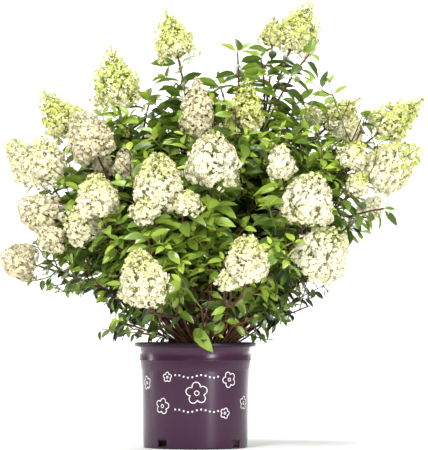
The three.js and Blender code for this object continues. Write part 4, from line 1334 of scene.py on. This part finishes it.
# The bark of each kind of stem by its place in the list. A share of some kinds takes another one.
STEM_KINDS = {
    "stem": {"sides": 7, "bark": 0, "other": 4, "share": 0.5},
    "twig": {"sides": 4, "bark": 1, "other": 3, "share": 0.35},
    "petiole": {"sides": 3, "bark": 2},
    "rachis": {"sides": 3, "bark": 5},
    "sucker": {"sides": 5, "bark": 6},
}


def stem_piece(plant, nodes):
    sheaf = Sheaf()
    for points, (foot, tip), kind in plant.stems:
        look = STEM_KINDS[kind]
        body, faces = tube(points, np.linspace(foot, tip, len(points)), look["sides"])
        other = "other" in look and rng.random() < look["share"]
        sheaf.add(body, faces, look["other"] if other else look["bark"])
    return sheaf.mesh("stems", [plain(*bark) for bark in STEM_BARKS], "cane_bark", *nodes)


def body_radius(height):
    step_radius = NECK_RADIUS - STEP_WIDTH - EDGE
    return FOOT_RADIUS + (step_radius - FOOT_RADIUS) * height / STEP_HEIGHT


def pot_outline():
    """The pot's wall in section, from the middle of its underside round to the middle of its floor"""
    ledge = POT_HEIGHT - LIP_DEPTH
    lip_inside = RIM_RADIUS - WALL - EDGE
    wall = [(body_radius(h), h) for h in np.linspace(4, STEP_HEIGHT, 9)]
    inside = [(body_radius(h) - WALL, h) for h in np.linspace(STEP_HEIGHT, FLOOR + 3, 5)]
    return [
        (0, 0.8), (FOOT_RADIUS - 8, 0.8), (FOOT_RADIUS - 6, 0), (FOOT_RADIUS - 1.5, 0), (FOOT_RADIUS, 1.2),
        *wall,
        (body_radius(STEP_HEIGHT) + STEP_WIDTH + BEAD, STEP_HEIGHT + 0.4),
        (body_radius(STEP_HEIGHT) + STEP_WIDTH + BEAD, STEP_HEIGHT + 2),
        (body_radius(STEP_HEIGHT) + STEP_WIDTH, STEP_HEIGHT + 5),
        (NECK_RADIUS, ledge - 1), (NECK_RADIUS + 0.8, ledge), (RIM_RADIUS - 1.6, ledge + 0.2),
        (RIM_RADIUS - 0.5, ledge + 0.7), (RIM_RADIUS, ledge + 2), (RIM_RADIUS, POT_HEIGHT - 2.2),
        (RIM_RADIUS - 0.5, POT_HEIGHT - 0.7), (RIM_RADIUS - 1.5, POT_HEIGHT), (lip_inside + 0.6, POT_HEIGHT),
        (lip_inside, POT_HEIGHT - 0.7), (lip_inside, ledge + WALL + 1), (lip_inside - 0.8, ledge + WALL),
        (NECK_RADIUS - WALL, ledge + WALL - 0.6),
        *inside, (0, FLOOR + 3),
    ]


def drain_cutter(index):
    """A block where the wall is open at the pot's foot"""
    turn = math.radians(DRAIN["first"] + index * 360 / DRAIN["count"])
    bpy.ops.mesh.primitive_cube_add(size=1)
    block = bpy.context.object
    middle = DRAIN["above"] + DRAIN["height"] / 2
    block.scale = (DRAIN["width"] * MM, FOOT_RADIUS * 0.1 * MM, DRAIN["height"] * MM)
    block.rotation_euler = (0, 0, turn)
    block.location = (math.sin(turn) * FOOT_RADIUS * MM, -math.cos(turn) * FOOT_RADIUS * MM, middle * MM)
    return block


def cut(piece, blocks):
    """The blocks are taken out of the piece and removed."""
    for block in blocks:
        hole = piece.modifiers.new("hole", "BOOLEAN")
        hole.operation = "DIFFERENCE"
        hole.object = block
    bpy.context.view_layer.update()
    seen = piece.evaluated_get(bpy.context.evaluated_depsgraph_get())
    data = bpy.data.meshes.new_from_object(seen)
    piece.modifiers.clear()
    piece.data = data
    for block in blocks:
        bpy.data.objects.remove(block)


def lathed(outline, sides):
    """A closed outline that starts and ends on the axis, turned round it"""
    turns = around(sides)
    across, over = np.cos(turns), np.sin(turns)
    rings = [np.stack([r * across, r * over, np.full(sides, z)], 1) for r, z in outline[1:-1]]
    wall = np.concatenate(rings)
    first = len(wall)
    step = np.arange(sides)
    following = (step + 1) % sides
    under = np.stack([np.full(sides, first), following, step], 1)
    last_row = first - sides
    top = np.stack([np.full(sides, first + 1), last_row + step, last_row + following], 1)
    points = np.concatenate([wall, [(0, 0, outline[0][1]), (0, 0, outline[-1][1])]])
    return points, np.concatenate([grid_faces(len(rings), sides, True), under, top])


def pot_piece():
    points, faces = lathed(pot_outline(), POT_SIDES)
    # The lip's faces take a darker plum than the body: painted shade for the shadow that the foliage casts
    # on the rim.
    painted_shade_lip = points[faces][:, :, 2].min(1) > POT_HEIGHT - LIP_DEPTH - EDGE
    plastics = [
        plastic("plum_plastic", (48, 14, 43), (62, 25, 56), roughness=0.26, sheen=0.38),
        plastic("plum_plastic_lip_painted_shade", (22, 4, 17), (34, 10, 28), roughness=0.36, sheen=0.28),
    ]
    slots = painted_shade_lip.astype(int)
    piece = mesh_object("pot_shell", points * MM, faces, slots, plastics, ["pot"])
    cut(piece, [drain_cutter(i) for i in range(DRAIN["count"])])
    return piece


# The print: each flower's place round the wall and its height, its radius and turn
FLOWERS = [
    (4, 128, 25, 0.4), (-80, 98, 18, 0.1), (84, 158, 18, 0.7), (-66, 164, 11, 0.3),
    (72, 82, 12, 0.0), (-134, 150, 15, 0.5), (136, 104, 15, 0.2),
]
DOT_ROWS = (88, 166)
PRINT_LINE = 2
PRINT_LIFT = 0.22


def on_wall(across, height):
    """A place on the pot's front, by its distance round from the middle and its height"""
    radius = body_radius(height) + PRINT_LIFT
    turn = across / radius - math.pi / 2
    return np.stack([radius * np.cos(turn), radius * np.sin(turn), height], -1)


def ribbon_into(sheaf, across, height, wide):
    """A thin printed line along a closed path on the pot's wall"""
    path = np.stack([across, height], 1)
    tangent = np.roll(path, -1, 0) - np.roll(path, 1, 0)
    normal = unit_rows(np.stack([-tangent[:, 1], tangent[:, 0]], 1))
    edges = np.stack([path - normal * wide / 2, path + normal * wide / 2], 1).reshape(-1, 2)
    points = on_wall(edges[:, 0], edges[:, 1])
    faces = grid_faces(len(path) + 1, 2, False) % (len(path) * 2)
    sheaf.add(points, faces[:, ::-1], 0)


def flower_line(x, z, radius, turn):
    """The outline of a simple flower with five petals"""
    angle = np.linspace(0, 2 * math.pi, 97)[:-1]
    size = radius * (0.62 + 0.38 * np.abs(np.cos(angle * 5 / 2)) ** 0.8)
    return x + size * np.cos(angle + turn), z + size * np.sin(angle + turn)


def ring_into(sheaf, x, z, radius, wide):
    turns = np.linspace(0, 2 * math.pi, 49)[:-1]
    ribbon_into(sheaf, x + radius * np.cos(turns), z + radius * np.sin(turns), wide)


def print_piece():
    """A plain white pattern on the front: flower outlines, rings and rows of dots"""
    sheaf = Sheaf()
    for x, z, radius, turn in FLOWERS:
        ribbon_into(sheaf, *flower_line(x, z, radius, turn), PRINT_LINE)
        ring_into(sheaf, x, z, radius * 0.2, 1.7)
    for x in np.linspace(-46, 54, 11):
        for z in DOT_ROWS:
            ring_into(sheaf, x, z + 3 * math.sin(x / 9), 1.2, PRINT_LINE)
    return sheaf.mesh("pot_print", [plain("print_white", (236, 232, 234), 0.5)], "pot_plastic")


def soil_bed(radius):
    """A rough bed of bark mix, a little domed towards the crown, over a plain plug"""
    rows, columns = BED["rows"], BED["columns"]
    share = np.linspace(0, 1, rows)
    turn = around(columns)
    r = np.maximum(share[:, None] * radius, 0.5)
    x = r * np.cos(turn)
    y = r * np.sin(turn)
    rough = BED["rough"] * np.sin(x / 5.3 + 1.3 * np.sin(y / 7)) * np.sin(y / 4.7)
    z = SOIL_TOP - BED["sunk"] - SOIL_FALL * share[:, None] + (rough + rng.normal(0, 0.5, x.shape))
    top = np.stack([x, y, z], 2).reshape(-1, 3)
    skirt = top[-columns:].copy()
    skirt[:, 2] = BED["foot"]
    skirt[:, :2] *= (body_radius(FLOOR) - PLUG_INSET) / radius
    points = np.concatenate([top, skirt, [(0, 0, BED["foot"])]])
    last = rows * columns
    step = np.arange(columns)
    base = np.stack([np.full(columns, len(points) - 1), last + (step + 1) % columns, last + step], 1)
    return points, np.concatenate([grid_faces(rows + 1, columns, True), base])


def soil_piece():
    sheaf = Sheaf()
    radius = body_radius(STEP_HEIGHT) - WALL - 2 * GAP
    sheaf.add(*soil_bed(radius), 0)
    chips_into(sheaf, radius)
    mix = speckled("potting_mix", (44, 30, 22), (104, 78, 58), scale=190, roughness=0.95, bump=0.7,
                   distance=1.2 * MM)
    chip = plain("bark_chip", (112, 78, 54), 0.9)
    pale = plain("bark_chip_pale", (150, 112, 80), 0.9)
    return sheaf.mesh("soil", [mix, chip, pale], "potting_mix", "potting_soil")


def chips_into(sheaf, radius):
    """Bark chips on the bed, each a flat block at its own angle"""
    corners = np.array([(x, y, z) for z in (-1, 1) for y in (-1, 1) for x in (-1, 1)], float)
    faces = np.array([
        (0, 2, 1), (1, 2, 3), (4, 5, 6), (5, 7, 6), (0, 1, 4), (1, 5, 4),
        (2, 6, 3), (3, 6, 7), (0, 4, 2), (2, 4, 6), (1, 3, 5), (3, 7, 5),
    ])
    for _ in range(CHIP["count"]):
        r = (radius - CHIP["inset"]) * math.sqrt(rng.random())
        turn = rng.uniform(0, 2 * math.pi)
        size = np.array([rng.uniform(*CHIP[side]) for side in ("long", "wide", "thick")])
        along = unit(np.array([math.cos(turn * 7), math.sin(turn * 7), rng.uniform(-0.3, 0.3)]))
        side = unit(np.cross(UP, along))
        lift = np.cross(along, side)
        z = SOIL_TOP - CHIP["sunk"] - SOIL_FALL * r / radius
        at = np.array([r * math.cos(turn), r * math.sin(turn), z])
        points = at + (corners * size) @ np.array([along, side, lift])
        sheaf.add(points, faces, rng.choice([1, 1, 2]))


# Surroundings

def stage():
    """A pale floor that runs up into a pale wall behind"""
    width, near, far, bend, high, steps = 26, -13, 15, 2, 8, 12
    profile = [(near, 0.0), (far - bend, 0.0)]
    for step in range(1, steps + 1):
        angle = step / steps * math.pi / 2
        profile.append((far - bend + bend * math.sin(angle), bend - bend * math.cos(angle)))
    profile.append((far, high))
    points = [(x, y, z) for y, z in profile for x in (-width / 2, width / 2)]
    faces = [(2 * i, 2 * i + 1, 2 * i + 3, 2 * i + 2) for i in range(len(profile) - 1)]
    data = bpy.data.meshes.new("studio_floor")
    data.from_pydata(points, [], faces)
    data.shade_smooth()
    data.materials.append(plain("studio_white", (252, 252, 252), 0.9, 0.0))
    floor = placed("studio_floor", data)


def point_at(thing, at, target):
    thing.location = at
    thing.rotation_euler = (Vector(target) - Vector(at)).to_track_quat("-Z", "Y").to_euler()


def lamp(name, at, target, size, power):
    data = bpy.data.lights.new(name, "AREA")
    data.shape = "RECTANGLE"
    data.size, data.size_y = size
    data.energy = power
    point_at(placed(name, data), at, target)


def lights():
    aim = (0, 0, 0.55)
    lamp("key", (-1.3, -3.6, 3.0), aim, size=(1.2, 1.2), power=168)
    lamp("left_strip", (-2.5, 0.6, 0.8), aim, size=(0.2, 1.4), power=18)
    lamp("right_strip", (2.1, -3.1, 0.55), (0, 0, 0.3), size=(0.4, 1.0), power=58)
    lamp("top", (0.2, -0.4, 4.2), aim, size=(1.8, 1.8), power=84)
    lamp("back", (0.9, 3.0, 2.2), (0.3, 0.5, 0.0), size=(1.6, 1.6), power=60)
    lamp("backdrop", (0.0, 3.2, 4.2), (0.0, 10.5, 0.2), size=(4.0, 4.0), power=1700)
    world = bpy.data.worlds.new("studio")
    world.use_nodes = True
    background = world.node_tree.nodes["Background"]
    background.inputs["Color"].default_value = (1, 1, 1, 1)
    background.inputs["Strength"].default_value = 0.4
    bpy.context.scene.world = world
    bpy.context.scene.view_settings.view_transform = "Standard"


def camera():
    data = bpy.data.cameras.new("camera")
    data.sensor_fit = "VERTICAL"
    data.sensor_height = 36
    data.lens = 225
    data.clip_end = 100
    seen = placed("camera", data)
    point_at(seen, (0.043, -6.5, 0.30), (0.043, 0, 0.513))
    bpy.context.scene.camera = seen


def main():
    names = sorted(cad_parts)
    limbs = [n for n in names if n.startswith(("cane_", "bough_", "root_crown"))]
    masses = [n for n in names if n.startswith(("bloom_mass_", "low_leaves_"))]
    blooming = [n for n in masses if n.startswith("bloom_mass_")]
    plant, planned, blooms = grow()
    for bloom in blooms:
        panicle_stems(plant, bloom)
    greens = [plain(*green, 0.6) for green in GREENS + RIBS]
    leaf_pieces(plant.leaves).meshes("leaves", greens, "foliage", *masses)
    petals = [plain(*petal, 0.2) for petal in PETALS]
    blossom = Sheaf()
    for bloom in blooms:
        add_panicle(blossom, bloom)
    blossom.meshes("blossom", petals, "blossom", *blooming)
    stem_piece(plant, masses)
    bark_piece(planned, limbs)
    pot_piece()
    print_piece()
    soil_piece()
    stage()
    lights()
    camera()


main()
